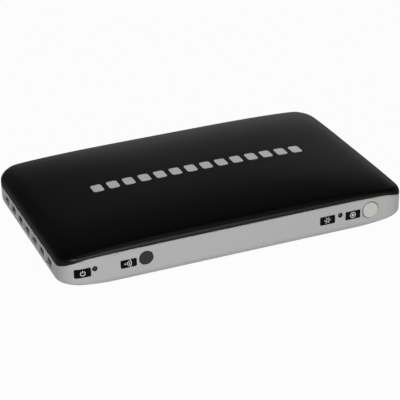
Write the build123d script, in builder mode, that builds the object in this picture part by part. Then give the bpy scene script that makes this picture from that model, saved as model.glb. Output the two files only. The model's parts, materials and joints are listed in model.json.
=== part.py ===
from build123d import *
import os
from math import cos, radians, sin, sqrt

os.makedirs("parts", exist_ok=True)

# A small stand-alone video recorder: a flat box of two mouldings with its controls on the front wall and
# its sockets on the rear wall. Millimetres. The front faces -Y, the width lies along X, and the origin is
# on the table under the middle of the box.

# The closed case, without its feet
CASE_WIDTH = 150.0
CASE_DEPTH = 92.0
CASE_HEIGHT = 18.5
CORNER_RADIUS = 8.5
FOOT_STAND = 1.2

# Underside: it draws in more at the two ends than at the front and rear, and most at the corners
ROUND_HEIGHT = 3.4
END_ROUND = 3.4
FRONT_ROUND = 2.6
CORNER_GROWTH = 14.0
UNDERSIDE_RINGS = 6

# Joint between the mouldings: level along the front, lower at the two ends
JOINT_BELOW_TOP = 5.15
JOINT_END_DROP = 4.1
JOINT_RUN = 14.2
JOINT_GAP = 0.2
JOINT_CHAMFER = 0.3
EDGE_TOLERANCE = 0.02
TONGUE_HEIGHT = 1.0
TONGUE_INSET = 1.1
TONGUE_CLEARANCE = 0.12

# Crown of the cover: a slow fall to the four edges and a quick one in the last millimetres
END_FALL = 3.4
END_FALL_POWER = 2.8
END_SHOULDER = 2.4
FRONT_FALL = 2.2
FRONT_FALL_POWER = 3.0
FRONT_SHOULDER = 0.3
SHOULDER_POWER = 30.0
FALL_MIX = 1.5
RIM_RADIUS = 1.5
CROWN_OVERHANG = 1.5
CROWN_COLUMNS = 33
CROWN_ROWS = 23
CROWN_CROWDING = 1.7

# Walls of the mouldings
CASE_WALL = 2.0
FLOOR = 2.0
COVER_WALL = 2.0
CAVITY_CORNER = 10.0

# Vent slots in the two end walls
VENT_COUNT = 7
VENT_PITCH = 9.9
VENT_LENGTH = 5.2
VENT_HEIGHT = 2.4
VENT_BELOW_JOINT = 1.75

# Controls on the front wall: places from the nearer end, and how far above the middle of the wall
BUTTON_FROM_END = 17.0
BUTTON_RAISE = 0.175
BUTTON_RADIUS = 3.43
BUTTON_CLEARANCE = 0.17
BUTTON_PROUD = 0.6
BUTTON_TRAVEL = 0.4
BUTTON_FLANGE = 0.9
BUTTON_FLANGE_THICKNESS = 0.8
BUTTON_EDGE = 0.3
BUTTON_STEM_RADIUS = 1.6
WINDOW_FROM_END = 34.5
WINDOW_RAISE = 0.525
WINDOW_RADIUS = 3.0
WINDOW_CLEARANCE = 0.05
WINDOW_RECESS = 0.15
WINDOW_FLANGE = 0.9
WINDOW_FLANGE_THICKNESS = 0.7
ON_LIGHT_FROM_END = 13.3
REC_LIGHT_FROM_END = 30.8
LIGHT_RAISE = 0.625
LIGHT_RADIUS = 1.0
LIGHT_CLEARANCE = 0.12
LIGHT_RECESS = 0.3
LIGHT_FLANGE = 0.8
LIGHT_FLANGE_THICKNESS = 0.6

# Feet and the case screws above them
SCREW_FROM_END = 15.0
SCREW_FROM_FRONT = 14.0
FOOT_RADIUS = 5.0
FOOT_CLEARANCE = 0.05
FOOT_RECESS = 0.5
FOOT_EDGE = 0.4
BOSS_RADIUS = 4.0
BOSS_BELOW_JOINT = 3.55
HEAD_SEAT = 4.0
HEAD_RADIUS = 2.4
HEAD_HEIGHT = 1.6
HEAD_CLEARANCE = 0.4
SCREW_RADIUS = 1.25
SCREW_BITE = 4.2
SCREW_HOLE_CLEARANCE = 0.2
PILOT_CLEARANCE = 0.02
PILOT_SPARE = 0.4
COVER_BOSS_RADIUS = 3.4

# Main board
BOARD_END_GAP = 5.0
BOARD_EDGE_GAP = 3.0
BOARD_THICKNESS = 1.6
BOARD_CORNER = 8.0
STANDOFF = 1.6
STANDOFF_RADIUS = 3.0
BOARD_SCREW_FROM_END = 22.0
BOARD_SCREW_FROM_EDGE = 21.0
BOARD_SCREW_RADIUS = 1.2
BOARD_SCREW_LENGTH = 3.8
BOARD_HEAD_RADIUS = 2.5
BOARD_HEAD_HEIGHT = 1.4
BOARD_HOLE_CLEARANCE = 0.3
BOARD_BOSS_CLEARANCE = 0.4

# Sockets on the rear wall: the power jack's place from the right end, and the others' from neighbours
DC_FROM_END = 25.0
DC_TO_HDMI_IN = 21.0
HDMI_IN_TO_OUT = 22.0
HDMI_OUT_TO_USB = 23.0
USB_TO_MIC = 20.0
SOCKET_PROUD = 0.6
SOCKET_GAP = 0.25
HDMI_WIDTH = 14.0
HDMI_HEIGHT = 4.55
HDMI_CHAMFER = 1.5
HDMI_SHELL = 0.35
HDMI_DEPTH = 12.0
HDMI_BACK = 2.0
HDMI_TONGUE_WIDTH = 12.2
HDMI_TONGUE_THICKNESS = 1.2
HDMI_TONGUE_RECESS = 1.4
HDMI_CONTACT_PITCH = 1.0
HDMI_TOP_CONTACTS = 10
HDMI_CONTACT_WIDTH = 0.4
USB_WIDTH = 12.5
USB_HEIGHT = 5.12
USB_SHELL = 0.3
USB_DEPTH = 14.0
USB_BACK = 2.0
USB_TONGUE_WIDTH = 11.1
USB_TONGUE_THICKNESS = 1.84
USB_TONGUE_RECESS = 1.0
USB_CONTACT_WIDTH = 1.0
USB_CONTACT_PLACES = (-3.5, -1.0, 1.0, 3.5)
CONTACT_THICKNESS = 0.15
CONTACT_LENGTH = 7.0
MIC_BORE = 1.8
MIC_BUSH_RADIUS = 3.0
MIC_HOUSING_WIDTH = 6.6
MIC_HOUSING_HEIGHT = 6.0
MIC_HOUSING_DEPTH = 11.0
DC_BORE = 1.9
DC_PIN_RADIUS = 0.65
DC_PIN_RECESS = 0.8
DC_COLLAR_RADIUS = 3.2
DC_HOUSING_WIDTH = 7.4
DC_HOUSING_HEIGHT = 6.6
DC_HOUSING_DEPTH = 10.0
JACK_BACK = 1.0
COLLAR_CLEARANCE = 0.15
HOUSING_STANDBACK = 0.1

# Behind the controls
SWITCH_WIDTH = 6.4
SWITCH_DEPTH = 3.6
SWITCH_ABOVE_BUTTON = 2.4
SWITCH_EDGE_GAP = 0.2
SWITCH_COVER = 0.3
PLUNGER_RADIUS = 1.5
PLUNGER_CLEARANCE = 0.15
PLUNGER_IN_SWITCH = 0.9
PLUNGER_WELL = 1.9
RECEIVER_WIDTH = 5.6
RECEIVER_DEPTH = 3.2
RECEIVER_ABOVE_WINDOW = 3.4
RECEIVER_DOME = 2.2
RECEIVER_DOME_EDGE = 1.6
RECEIVER_EDGE_GAP = 0.1
SIGHT_GAP = 0.3
LED_RADIUS = 1.5
LED_FLANGE = 0.35
LED_FLANGE_THICKNESS = 1.0
LED_LENGTH = 4.6
LEAD_WIDTH = 0.5
LEAD_SPREAD = 1.27
LEAD_RUN = 1.2

# Parts on the board: the encoder's place, and the others' from what they serve
CHIP_EDGE = 0.15
ENCODER_X = -2.0
ENCODER_Y = -2.0
ENCODER_SIZE = 21.0
ENCODER_HEIGHT = 1.3
PAD_SIZE = 18.0
PAD_THICKNESS = 0.7
SINK_SIZE = 30.0
SINK_BASE = 1.6
SINK_FIN_HEIGHT = 5.2
SINK_FIN_THICKNESS = 1.0
SINK_FIN_COUNT = 8
ENCODER_TO_MEMORY = 28.0
MEMORY_SPREAD = 8.0
MEMORY_WIDTH = 11.0
MEMORY_DEPTH = 13.0
MEMORY_HEIGHT = 1.1
ENCODER_TO_FLASH = 10.0
FLASH_FROM_EDGE = 13.0
FLASH_WIDTH = 18.4
FLASH_DEPTH = 12.0
FLASH_HEIGHT = 1.1
REAR_CHIPS_FROM_EDGE = 17.0
RECEIVER_CHIP_SIZE = 12.0
DRIVER_CHIP_SIZE = 9.0
CODEC_SIZE = 7.0
SMALL_CHIP_HEIGHT = 1.0
ENCODER_TO_CRYSTAL = 22.0
CRYSTAL_FROM_EDGE = 17.0
CRYSTAL_WIDTH = 11.2
CRYSTAL_DEPTH = 4.6
CRYSTAL_HEIGHT = 3.6
DC_TO_INDUCTORS = 18.0
INDUCTOR_PITCH = 12.0
INDUCTOR_SIZE = 7.0
INDUCTOR_HEIGHT = 3.2
INDUCTOR_CORNER = 1.75
DC_TO_CAPACITORS = 6.0
CAPACITOR_PITCH = 12.0
CAPACITOR_RADIUS = 3.15
CAPACITOR_HEIGHT = 7.0
CAPACITOR_BASE = 0.8
CAPACITOR_GROOVE = 0.35

# Heights worked out from the sizes above
UNDERSIDE = FOOT_STAND
CASE_TOP = UNDERSIDE + CASE_HEIGHT
FLOOR_TOP = UNDERSIDE + FLOOR
JOINT_LEVEL = CASE_TOP - JOINT_BELOW_TOP
JOINT_LOW = JOINT_LEVEL - JOINT_END_DROP
BOSS_TOP = JOINT_LEVEL - BOSS_BELOW_JOINT
BOARD_BOTTOM = FLOOR_TOP + STANDOFF
BOARD_TOP = BOARD_BOTTOM + BOARD_THICKNESS
WALL_MIDDLE = (FLOOR_TOP + JOINT_LEVEL) / 2
BUTTON_Z = WALL_MIDDLE + BUTTON_RAISE
WINDOW_Z = WALL_MIDDLE + WINDOW_RAISE
LIGHT_Z = WALL_MIDDLE + LIGHT_RAISE
VENT_Z = JOINT_LOW - VENT_BELOW_JOINT - VENT_HEIGHT / 2

# Walls and the places along them
RIGHT_END = CASE_WIDTH / 2
LEFT_END = -RIGHT_END
FRONT = -CASE_DEPTH / 2
FRONT_INNER = FRONT + CASE_WALL
REAR = CASE_DEPTH / 2
REAR_INNER = REAR - CASE_WALL
MOUTH = REAR + SOCKET_PROUD
BUTTON_X = RIGHT_END - BUTTON_FROM_END
REC_LIGHT_X = RIGHT_END - REC_LIGHT_FROM_END
ON_LIGHT_X = LEFT_END + ON_LIGHT_FROM_END
WINDOW_X = LEFT_END + WINDOW_FROM_END
SCREW_X = RIGHT_END - SCREW_FROM_END
SCREW_Y = REAR - SCREW_FROM_FRONT
DC_X = RIGHT_END - DC_FROM_END
HDMI_IN_X = DC_X - DC_TO_HDMI_IN
HDMI_OUT_X = HDMI_IN_X - HDMI_IN_TO_OUT
USB_X = HDMI_OUT_X - HDMI_OUT_TO_USB
MIC_X = USB_X - USB_TO_MIC

# Board, and the parts on it
BOARD_RIGHT = RIGHT_END - CASE_WALL - BOARD_END_GAP
BOARD_REAR = REAR_INNER - BOARD_EDGE_GAP
BOARD_FRONT = -BOARD_REAR
BOARD_SCREW_X = BOARD_RIGHT - BOARD_SCREW_FROM_END
BOARD_SCREW_Y = BOARD_REAR - BOARD_SCREW_FROM_EDGE
REAR_CHIPS_Y = BOARD_REAR - REAR_CHIPS_FROM_EDGE
SWITCH_FRONT = BOARD_FRONT + SWITCH_EDGE_GAP
HDMI_Z = BOARD_TOP + HDMI_SHELL + HDMI_HEIGHT / 2
USB_Z = BOARD_TOP + USB_SHELL + USB_HEIGHT / 2
MIC_Z = BOARD_TOP + MIC_HOUSING_HEIGHT / 2
DC_Z = BOARD_TOP + DC_HOUSING_HEIGHT / 2
HOUSING_FACE = REAR_INNER - HOUSING_STANDBACK


def front_plane(y):
    """Plane that faces the front at a depth, with its own X along the width and its own Y upwards."""
    return Plane.XZ.offset(-y)


def save(part, name):
    """Give a finished piece its name and write it."""
    part.label = name
    export_step(part, f"parts/{name}.step")


def crown_height(x, y):
    """Height of the cover's outer skin over a point of the plan."""
    across = abs(x) / (CASE_WIDTH / 2)
    along = abs(y) / (CASE_DEPTH / 2)
    end_fall = END_FALL * across**END_FALL_POWER + END_SHOULDER * across**SHOULDER_POWER
    front_fall = FRONT_FALL * along**FRONT_FALL_POWER + FRONT_SHOULDER * along**SHOULDER_POWER
    return CASE_TOP - (end_fall**FALL_MIX + front_fall**FALL_MIX) ** (1 / FALL_MIX)


def crowded(count, reach):
    """Places from -reach to reach, closer together towards both ends, where the crown turns down."""
    places = []
    for step in range(count):
        share = 2 * step / (count - 1) - 1
        side = 1 if share > 0 else -1
        places.append(side * reach * (1 - (1 - abs(share)) ** CROWN_CROWDING))
    return places


def crown_skin(drop):
    """Smooth face on the crown, a distance below it, reaching past the walls."""
    columns = crowded(CROWN_COLUMNS, CASE_WIDTH / 2 + CROWN_OVERHANG)
    rows = crowded(CROWN_ROWS, CASE_DEPTH / 2 + CROWN_OVERHANG)
    grid = [[Vector(x, y, crown_height(x, y) - drop) for y in rows] for x in columns]
    return Face.make_surface_from_array_of_points(grid)


def below_joint(lift):
    """Everything under the joint of the mouldings, with the joint lifted by a distance."""
    half = CASE_WIDTH / 2
    level = JOINT_LEVEL + lift
    low = JOINT_LOW + lift
    outside = half + CASE_WALL
    with BuildPart() as under:
        with BuildSketch(Plane.XZ):
            with BuildLine():
                right_arc = TangentArc((half - JOINT_RUN, level), (half, low), tangent=(1, 0))
                left_arc = TangentArc((JOINT_RUN - half, level), (-half, low), tangent=(-1, 0))
                Polyline(
                    right_arc @ 1,
                    (outside, low),
                    (outside, 0),
                    (-outside, 0),
                    (-outside, low),
                    left_arc @ 1,
                )
                Line(left_arc @ 0, right_arc @ 0)
            make_face()
        extrude(amount=CASE_DEPTH, both=True)
    return under.part


def joint_height(x):
    """Height of the joint at a place along the width."""
    run = max(abs(x) - (CASE_WIDTH / 2 - JOINT_RUN), 0)
    radius = (JOINT_RUN**2 + JOINT_END_DROP**2) / (2 * JOINT_END_DROP)
    return JOINT_LEVEL - radius + sqrt(radius**2 - run**2)


def on_joint_rim(edge):
    """Whether an edge runs along the joint on the outside of the walls."""
    middle = edge @ 0.5
    if abs(middle.Z - joint_height(middle.X)) > EDGE_TOLERANCE:
        return False
    corner_x = max(abs(middle.X) - (CASE_WIDTH / 2 - CORNER_RADIUS), 0)
    corner_y = max(abs(middle.Y) - (CASE_DEPTH / 2 - CORNER_RADIUS), 0)
    return abs(sqrt(corner_x**2 + corner_y**2) - CORNER_RADIUS) < EDGE_TOLERANCE


def upright_block(inset, radius):
    """Block with the plan of the case drawn in by a distance, from the underside to above the crown."""
    with BuildPart() as block:
        with BuildSketch(Plane.XY.offset(UNDERSIDE)):
            RectangleRounded(CASE_WIDTH - 2 * inset, CASE_DEPTH - 2 * inset, radius)
        extrude(amount=CASE_HEIGHT + CROWN_OVERHANG)
    return block.part


def hdmi_outline(grow):
    """Mouth of an HDMI socket: wide at the top, with its two lower corners cut off."""
    half = HDMI_WIDTH / 2 + grow
    high = HDMI_HEIGHT / 2 + grow
    cut = HDMI_CHAMFER + grow / 2
    Polygon(
        (-half, high),
        (half, high),
        (half, cut - high),
        (half - cut, -high),
        (cut - half, -high),
        (-half, cut - high),
        align=None,
    )


def hdmi_socket(name, x):
    """One HDMI socket on the board: shell, tongue with its back block, and two rows of contacts."""
    mouth = front_plane(MOUTH)
    with BuildPart() as shell:
        with BuildSketch(mouth):
            with Locations((x, HDMI_Z)):
                hdmi_outline(HDMI_SHELL)
        extrude(amount=HDMI_DEPTH)
        with BuildSketch(mouth):
            with Locations((x, HDMI_Z)):
                hdmi_outline(0)
        extrude(amount=HDMI_DEPTH, mode=Mode.SUBTRACT)
    save(shell.part, f"{name}_shell")

    with BuildPart() as tongue:
        with BuildSketch(front_plane(MOUTH - HDMI_DEPTH + HDMI_BACK)):
            with Locations((x, HDMI_Z)):
                hdmi_outline(0)
        extrude(amount=HDMI_BACK)
        with BuildSketch(front_plane(MOUTH - HDMI_TONGUE_RECESS)):
            with Locations((x, HDMI_Z)):
                Rectangle(HDMI_TONGUE_WIDTH, HDMI_TONGUE_THICKNESS)
        extrude(amount=HDMI_DEPTH - HDMI_TONGUE_RECESS - HDMI_BACK)
    save(tongue.part, f"{name}_tongue")

    rise = HDMI_TONGUE_THICKNESS / 2 + CONTACT_THICKNESS / 2
    with BuildPart() as contacts:
        with BuildSketch(front_plane(MOUTH - 2 * HDMI_TONGUE_RECESS)):
            with Locations((x, HDMI_Z + rise)):
                with GridLocations(HDMI_CONTACT_PITCH, 0, HDMI_TOP_CONTACTS, 1):
                    Rectangle(HDMI_CONTACT_WIDTH, CONTACT_THICKNESS)
            with Locations((x, HDMI_Z - rise)):
                with GridLocations(HDMI_CONTACT_PITCH, 0, HDMI_TOP_CONTACTS - 1, 1):
                    Rectangle(HDMI_CONTACT_WIDTH, CONTACT_THICKNESS)
        extrude(amount=CONTACT_LENGTH)
    save(contacts.part, f"{name}_contacts")


def chip(name, place, width, depth, height):
    """A flat package on the board with its upper edges broken."""
    with BuildPart() as package:
        with BuildSketch(Plane.XY.offset(BOARD_TOP)):
            with Locations(place):
                Rectangle(width, depth)
        extrude(amount=height)
        chamfer(package.faces().sort_by(Axis.Z)[-1].edges(), CHIP_EDGE)
    save(package.part, name)


def led(name, x):
    """Round light emitter lying on its side, its dome towards the front wall."""
    nose = FRONT_INNER + LIGHT_FLANGE_THICKNESS + SIGHT_GAP
    back = nose + LED_LENGTH
    with BuildPart() as lens:
        with BuildSketch(Plane((x, 0, LIGHT_Z), x_dir=(1, 0, 0), z_dir=(0, 0, 1))):
            with BuildLine():
                dome = CenterArc((0, nose + LED_RADIUS), LED_RADIUS, 270, 90)
                Polyline(
                    dome @ 1,
                    (LED_RADIUS, back - LED_FLANGE_THICKNESS),
                    (LED_RADIUS + LED_FLANGE, back - LED_FLANGE_THICKNESS),
                    (LED_RADIUS + LED_FLANGE, back),
                    (0, back),
                    dome @ 0,
                )
            make_face()
        revolve(axis=Axis((x, 0, LIGHT_Z), (0, 1, 0)))
    save(lens.part, name)
    return back


def led_legs(places, back):
    """Two bent legs for each emitter, from its back down to the board."""
    with BuildPart() as legs:
        for x in places:
            for side in (-1, 1):
                with BuildSketch(Plane.YZ.offset(x + side * LEAD_SPREAD - LEAD_WIDTH / 2)):
                    with BuildLine():
                        Polyline(
                            (back, LIGHT_Z - LEAD_WIDTH / 2),
                            (back, LIGHT_Z + LEAD_WIDTH / 2),
                            (back + LEAD_RUN, LIGHT_Z + LEAD_WIDTH / 2),
                            (back + LEAD_RUN, BOARD_TOP),
                            (back + LEAD_RUN - LEAD_WIDTH, BOARD_TOP),
                            (back + LEAD_RUN - LEAD_WIDTH, LIGHT_Z - LEAD_WIDTH / 2),
                            close=True,
                        )
                    make_face()
                extrude(amount=LEAD_WIDTH)
    save(legs.part, "led_legs")


def light_pipe(name, x):
    """Clear pin that carries an emitter's light through the front wall, with a flange behind the wall."""
    with BuildPart() as pipe:
        with BuildSketch(front_plane(FRONT_INNER)):
            with Locations((x, LIGHT_Z)):
                Circle(LIGHT_RADIUS)
        extrude(amount=CASE_WALL - LIGHT_RECESS)
        fillet(pipe.faces().sort_by(Axis.Y)[0].edges(), LIGHT_RADIUS / 3)
        with BuildSketch(front_plane(FRONT_INNER + LIGHT_FLANGE_THICKNESS)):
            with Locations((x, LIGHT_Z)):
                Circle(LIGHT_RADIUS + LIGHT_FLANGE)
        extrude(amount=LIGHT_FLANGE_THICKNESS)
    save(pipe.part, name)


# Lower case: a lofted underside, upright walls up to the joint, and a tongue on the inner half of the wall
with BuildPart() as lower_case:
    for ring in range(UNDERSIDE_RINGS):
        turn = radians(90 * ring / (UNDERSIDE_RINGS - 1))
        with BuildSketch(Plane.XY.offset(UNDERSIDE + ROUND_HEIGHT * (1 - cos(turn)))):
            RectangleRounded(
                CASE_WIDTH - 2 * END_ROUND * (1 - sin(turn)),
                CASE_DEPTH - 2 * FRONT_ROUND * (1 - sin(turn)),
                CORNER_RADIUS + CORNER_GROWTH * cos(turn) ** 2,
            )
    loft()
    extrude(lower_case.faces().sort_by(Axis.Z)[-1], amount=CASE_HEIGHT - ROUND_HEIGHT)
    # The room inside
    with BuildSketch(Plane.XY.offset(FLOOR_TOP)):
        RectangleRounded(CASE_WIDTH - 2 * CASE_WALL, CASE_DEPTH - 2 * CASE_WALL, CAVITY_CORNER)
    extrude(amount=CASE_HEIGHT, mode=Mode.SUBTRACT)
    # The wall ends at the joint, and its inner half stands up as a tongue
    add(below_joint(TONGUE_HEIGHT), mode=Mode.INTERSECT)
    tongue_block = upright_block(TONGUE_INSET, CORNER_RADIUS - TONGUE_INSET)
    outer_half = upright_block(-CASE_WALL, CORNER_RADIUS) - tongue_block
    add(outer_half - below_joint(0), mode=Mode.SUBTRACT)
    chamfer(lower_case.edges().filter_by(on_joint_rim), JOINT_CHAMFER)
    # Bosses for the case screws and standoffs for the board
    with BuildSketch(Plane.XY.offset(FLOOR_TOP)):
        with GridLocations(2 * SCREW_X, 2 * SCREW_Y, 2, 2):
            Circle(BOSS_RADIUS)
    extrude(amount=BOSS_TOP - FLOOR_TOP)
    with BuildSketch(Plane.XY.offset(FLOOR_TOP)):
        with GridLocations(2 * BOARD_SCREW_X, 2 * BOARD_SCREW_Y, 2, 2):
            Circle(STANDOFF_RADIUS)
    extrude(amount=STANDOFF)
    with Locations(Plane.XY.offset(BOARD_BOTTOM)):
        with GridLocations(2 * BOARD_SCREW_X, 2 * BOARD_SCREW_Y, 2, 2):
            Hole(BOARD_SCREW_RADIUS + PILOT_CLEARANCE, depth=STANDOFF + FLOOR / 2)
    # From below: a shallow seat for each foot, and the screw's counterbore above it
    with BuildSketch(Plane.XY.offset(UNDERSIDE)):
        with GridLocations(2 * SCREW_X, 2 * SCREW_Y, 2, 2):
            Circle(FOOT_RADIUS + FOOT_CLEARANCE)
    extrude(amount=FOOT_RECESS, mode=Mode.SUBTRACT)
    with Locations(Plane.XY.offset(UNDERSIDE + FOOT_RECESS).rotated((180, 0, 0))):
        with GridLocations(2 * SCREW_X, 2 * SCREW_Y, 2, 2):
            CounterBoreHole(
                radius=SCREW_RADIUS + SCREW_HOLE_CLEARANCE,
                counter_bore_radius=HEAD_RADIUS + HEAD_CLEARANCE,
                counter_bore_depth=HEAD_SEAT - FOOT_RECESS,
                depth=BOSS_TOP - UNDERSIDE,
            )
    # Vent slots through both end walls
    with BuildSketch(Plane.YZ.offset(CASE_WIDTH / 2 - CASE_WALL), Plane.YZ.offset(-CASE_WIDTH / 2)):
        with Locations((0, VENT_Z)):
            with GridLocations(VENT_PITCH, 0, VENT_COUNT, 1):
                Rectangle(VENT_LENGTH, VENT_HEIGHT)
    extrude(amount=CASE_WALL, mode=Mode.SUBTRACT)
    # Front wall: button, window and the two lights
    with BuildSketch(front_plane(FRONT_INNER)):
        with Locations((BUTTON_X, BUTTON_Z)):
            Circle(BUTTON_RADIUS + BUTTON_CLEARANCE)
        with Locations((WINDOW_X, WINDOW_Z)):
            Circle(WINDOW_RADIUS + WINDOW_CLEARANCE)
        with Locations((ON_LIGHT_X, LIGHT_Z), (REC_LIGHT_X, LIGHT_Z)):
            Circle(LIGHT_RADIUS + LIGHT_CLEARANCE)
    extrude(amount=CASE_WALL, mode=Mode.SUBTRACT)
    # Rear wall: the sockets
    with BuildSketch(front_plane(REAR)):
        with Locations((HDMI_IN_X, HDMI_Z), (HDMI_OUT_X, HDMI_Z)):
            hdmi_outline(HDMI_SHELL + SOCKET_GAP)
        with Locations((USB_X, USB_Z)):
            Rectangle(USB_WIDTH + 2 * (USB_SHELL + SOCKET_GAP), USB_HEIGHT + 2 * (USB_SHELL + SOCKET_GAP))
        with Locations((MIC_X, MIC_Z)):
            Circle(MIC_BUSH_RADIUS + COLLAR_CLEARANCE)
        with Locations((DC_X, DC_Z)):
            Circle(DC_COLLAR_RADIUS + COLLAR_CLEARANCE)
    extrude(amount=CASE_WALL, mode=Mode.SUBTRACT)
save(lower_case.part, "lower_case")

# Top cover: the crown on upright flanks, hollow, with a groove over the case's tongue and four screw bosses
with BuildPart() as top_cover:
    add(upright_block(0, CORNER_RADIUS))
    split(bisect_by=crown_skin(0), keep=Keep.BOTTOM)
    fillet(top_cover.faces().sort_by(Axis.Z)[-1].outer_wire().edges(), RIM_RADIUS)
    room = upright_block(COVER_WALL, CAVITY_CORNER).split(crown_skin(COVER_WALL), Keep.BOTTOM)
    add(room, mode=Mode.SUBTRACT)
    add(below_joint(JOINT_GAP), mode=Mode.SUBTRACT)
    groove_inset = TONGUE_INSET - TONGUE_CLEARANCE
    groove_block = upright_block(groove_inset, CORNER_RADIUS - groove_inset)
    add(groove_block & below_joint(TONGUE_HEIGHT + JOINT_GAP), mode=Mode.SUBTRACT)
    with BuildSketch(Plane.XY.offset(BOSS_TOP)):
        with GridLocations(2 * SCREW_X, 2 * SCREW_Y, 2, 2):
            Circle(COVER_BOSS_RADIUS)
    extrude(amount=crown_height(SCREW_X, SCREW_Y) - COVER_WALL / 2 - BOSS_TOP)
    with BuildSketch(Plane.XY.offset(BOSS_TOP)):
        with GridLocations(2 * SCREW_X, 2 * SCREW_Y, 2, 2):
            Circle(SCREW_RADIUS + PILOT_CLEARANCE)
    extrude(amount=SCREW_BITE + PILOT_SPARE, mode=Mode.SUBTRACT)
save(top_cover.part, "top_cover")

# Rubber feet in their seats under the case
for foot_name, foot_x, foot_y in (
    ("foot_front_left", -SCREW_X, -SCREW_Y),
    ("foot_front_right", SCREW_X, -SCREW_Y),
    ("foot_rear_left", -SCREW_X, SCREW_Y),
    ("foot_rear_right", SCREW_X, SCREW_Y),
):
    with BuildPart() as foot:
        with BuildSketch(Plane.XY):
            with Locations((foot_x, foot_y)):
                Circle(FOOT_RADIUS)
        extrude(amount=FOOT_STAND + FOOT_RECESS)
        fillet(foot.faces().sort_by(Axis.Z)[0].edges(), FOOT_EDGE)
    save(foot.part, foot_name)

# Case screws: pan heads in the counterbores, threads up into the cover's bosses
with BuildPart() as case_screws:
    with BuildSketch(Plane.XY.offset(UNDERSIDE + HEAD_SEAT - HEAD_HEIGHT)):
        with GridLocations(2 * SCREW_X, 2 * SCREW_Y, 2, 2):
            Circle(HEAD_RADIUS)
    extrude(amount=HEAD_HEIGHT)
    fillet(case_screws.faces().group_by(Axis.Z)[0].edges(), HEAD_HEIGHT / 4)
    with BuildSketch(Plane.XY.offset(UNDERSIDE + HEAD_SEAT)):
        with GridLocations(2 * SCREW_X, 2 * SCREW_Y, 2, 2):
            Circle(SCREW_RADIUS)
    extrude(amount=BOSS_TOP + SCREW_BITE - UNDERSIDE - HEAD_SEAT)
    chamfer(case_screws.faces().group_by(Axis.Z)[-1].edges(), SCREW_RADIUS / 2)
save(case_screws.part, "case_screws")

# Main board with holes for the case's bosses and for its own screws
with BuildPart() as main_board:
    with BuildSketch(Plane.XY.offset(BOARD_BOTTOM)):
        RectangleRounded(2 * BOARD_RIGHT, 2 * BOARD_REAR, BOARD_CORNER)
        with GridLocations(2 * SCREW_X, 2 * SCREW_Y, 2, 2):
            Circle(BOSS_RADIUS + BOARD_BOSS_CLEARANCE, mode=Mode.SUBTRACT)
        with GridLocations(2 * BOARD_SCREW_X, 2 * BOARD_SCREW_Y, 2, 2):
            Circle(BOARD_SCREW_RADIUS + BOARD_HOLE_CLEARANCE, mode=Mode.SUBTRACT)
    extrude(amount=BOARD_THICKNESS)
save(main_board.part, "main_board")

with BuildPart() as board_screws:
    with BuildSketch(Plane.XY.offset(BOARD_TOP)):
        with GridLocations(2 * BOARD_SCREW_X, 2 * BOARD_SCREW_Y, 2, 2):
            Circle(BOARD_HEAD_RADIUS)
    extrude(amount=BOARD_HEAD_HEIGHT)
    fillet(board_screws.faces().group_by(Axis.Z)[-1].edges(), BOARD_HEAD_HEIGHT / 3)
    with BuildSketch(Plane.XY.offset(BOARD_TOP)):
        with GridLocations(2 * BOARD_SCREW_X, 2 * BOARD_SCREW_Y, 2, 2):
            Circle(BOARD_SCREW_RADIUS)
    extrude(amount=-BOARD_SCREW_LENGTH)
save(board_screws.part, "board_screws")

# Record button: the cap through the wall, a flange behind it that keeps it in, and a stem to the switch
button_back = FRONT_INNER + BUTTON_FLANGE_THICKNESS
plunger_front = SWITCH_FRONT - SWITCH_COVER - BUTTON_TRAVEL - SIGHT_GAP
with BuildPart() as rec_button:
    with BuildSketch(front_plane(FRONT_INNER)):
        with Locations((BUTTON_X, BUTTON_Z)):
            Circle(BUTTON_RADIUS)
    extrude(amount=CASE_WALL + BUTTON_PROUD)
    fillet(rec_button.faces().sort_by(Axis.Y)[0].edges(), BUTTON_EDGE)
    with BuildSketch(front_plane(button_back)):
        with Locations((BUTTON_X, BUTTON_Z)):
            Circle(BUTTON_RADIUS + BUTTON_FLANGE)
    extrude(amount=BUTTON_FLANGE_THICKNESS)
    with BuildSketch(front_plane(plunger_front)):
        with Locations((BUTTON_X, BUTTON_Z)):
            Circle(BUTTON_STEM_RADIUS)
    extrude(amount=plunger_front - button_back)
save(rec_button.part, "rec_button")

with BuildPart() as tact_plunger:
    with BuildSketch(front_plane(SWITCH_FRONT + PLUNGER_IN_SWITCH)):
        with Locations((BUTTON_X, BUTTON_Z)):
            Circle(PLUNGER_RADIUS)
    extrude(amount=SWITCH_FRONT + PLUNGER_IN_SWITCH - plunger_front)
save(tact_plunger.part, "tact_plunger")

# Tact switch behind the button: a moulded body with a well for the plunger, under a bent metal cover
with BuildPart() as tact_switch:
    with BuildSketch(Plane.XY.offset(BOARD_TOP)):
        with Locations((BUTTON_X, SWITCH_FRONT + SWITCH_DEPTH / 2)):
            Rectangle(SWITCH_WIDTH, SWITCH_DEPTH)
    extrude(amount=BUTTON_Z + SWITCH_ABOVE_BUTTON - BOARD_TOP)
    with BuildSketch(front_plane(SWITCH_FRONT)):
        with Locations((BUTTON_X, BUTTON_Z)):
            Circle(PLUNGER_RADIUS + PLUNGER_CLEARANCE)
    extrude(amount=-PLUNGER_WELL, mode=Mode.SUBTRACT)
save(tact_switch.part, "tact_switch_body")

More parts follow.
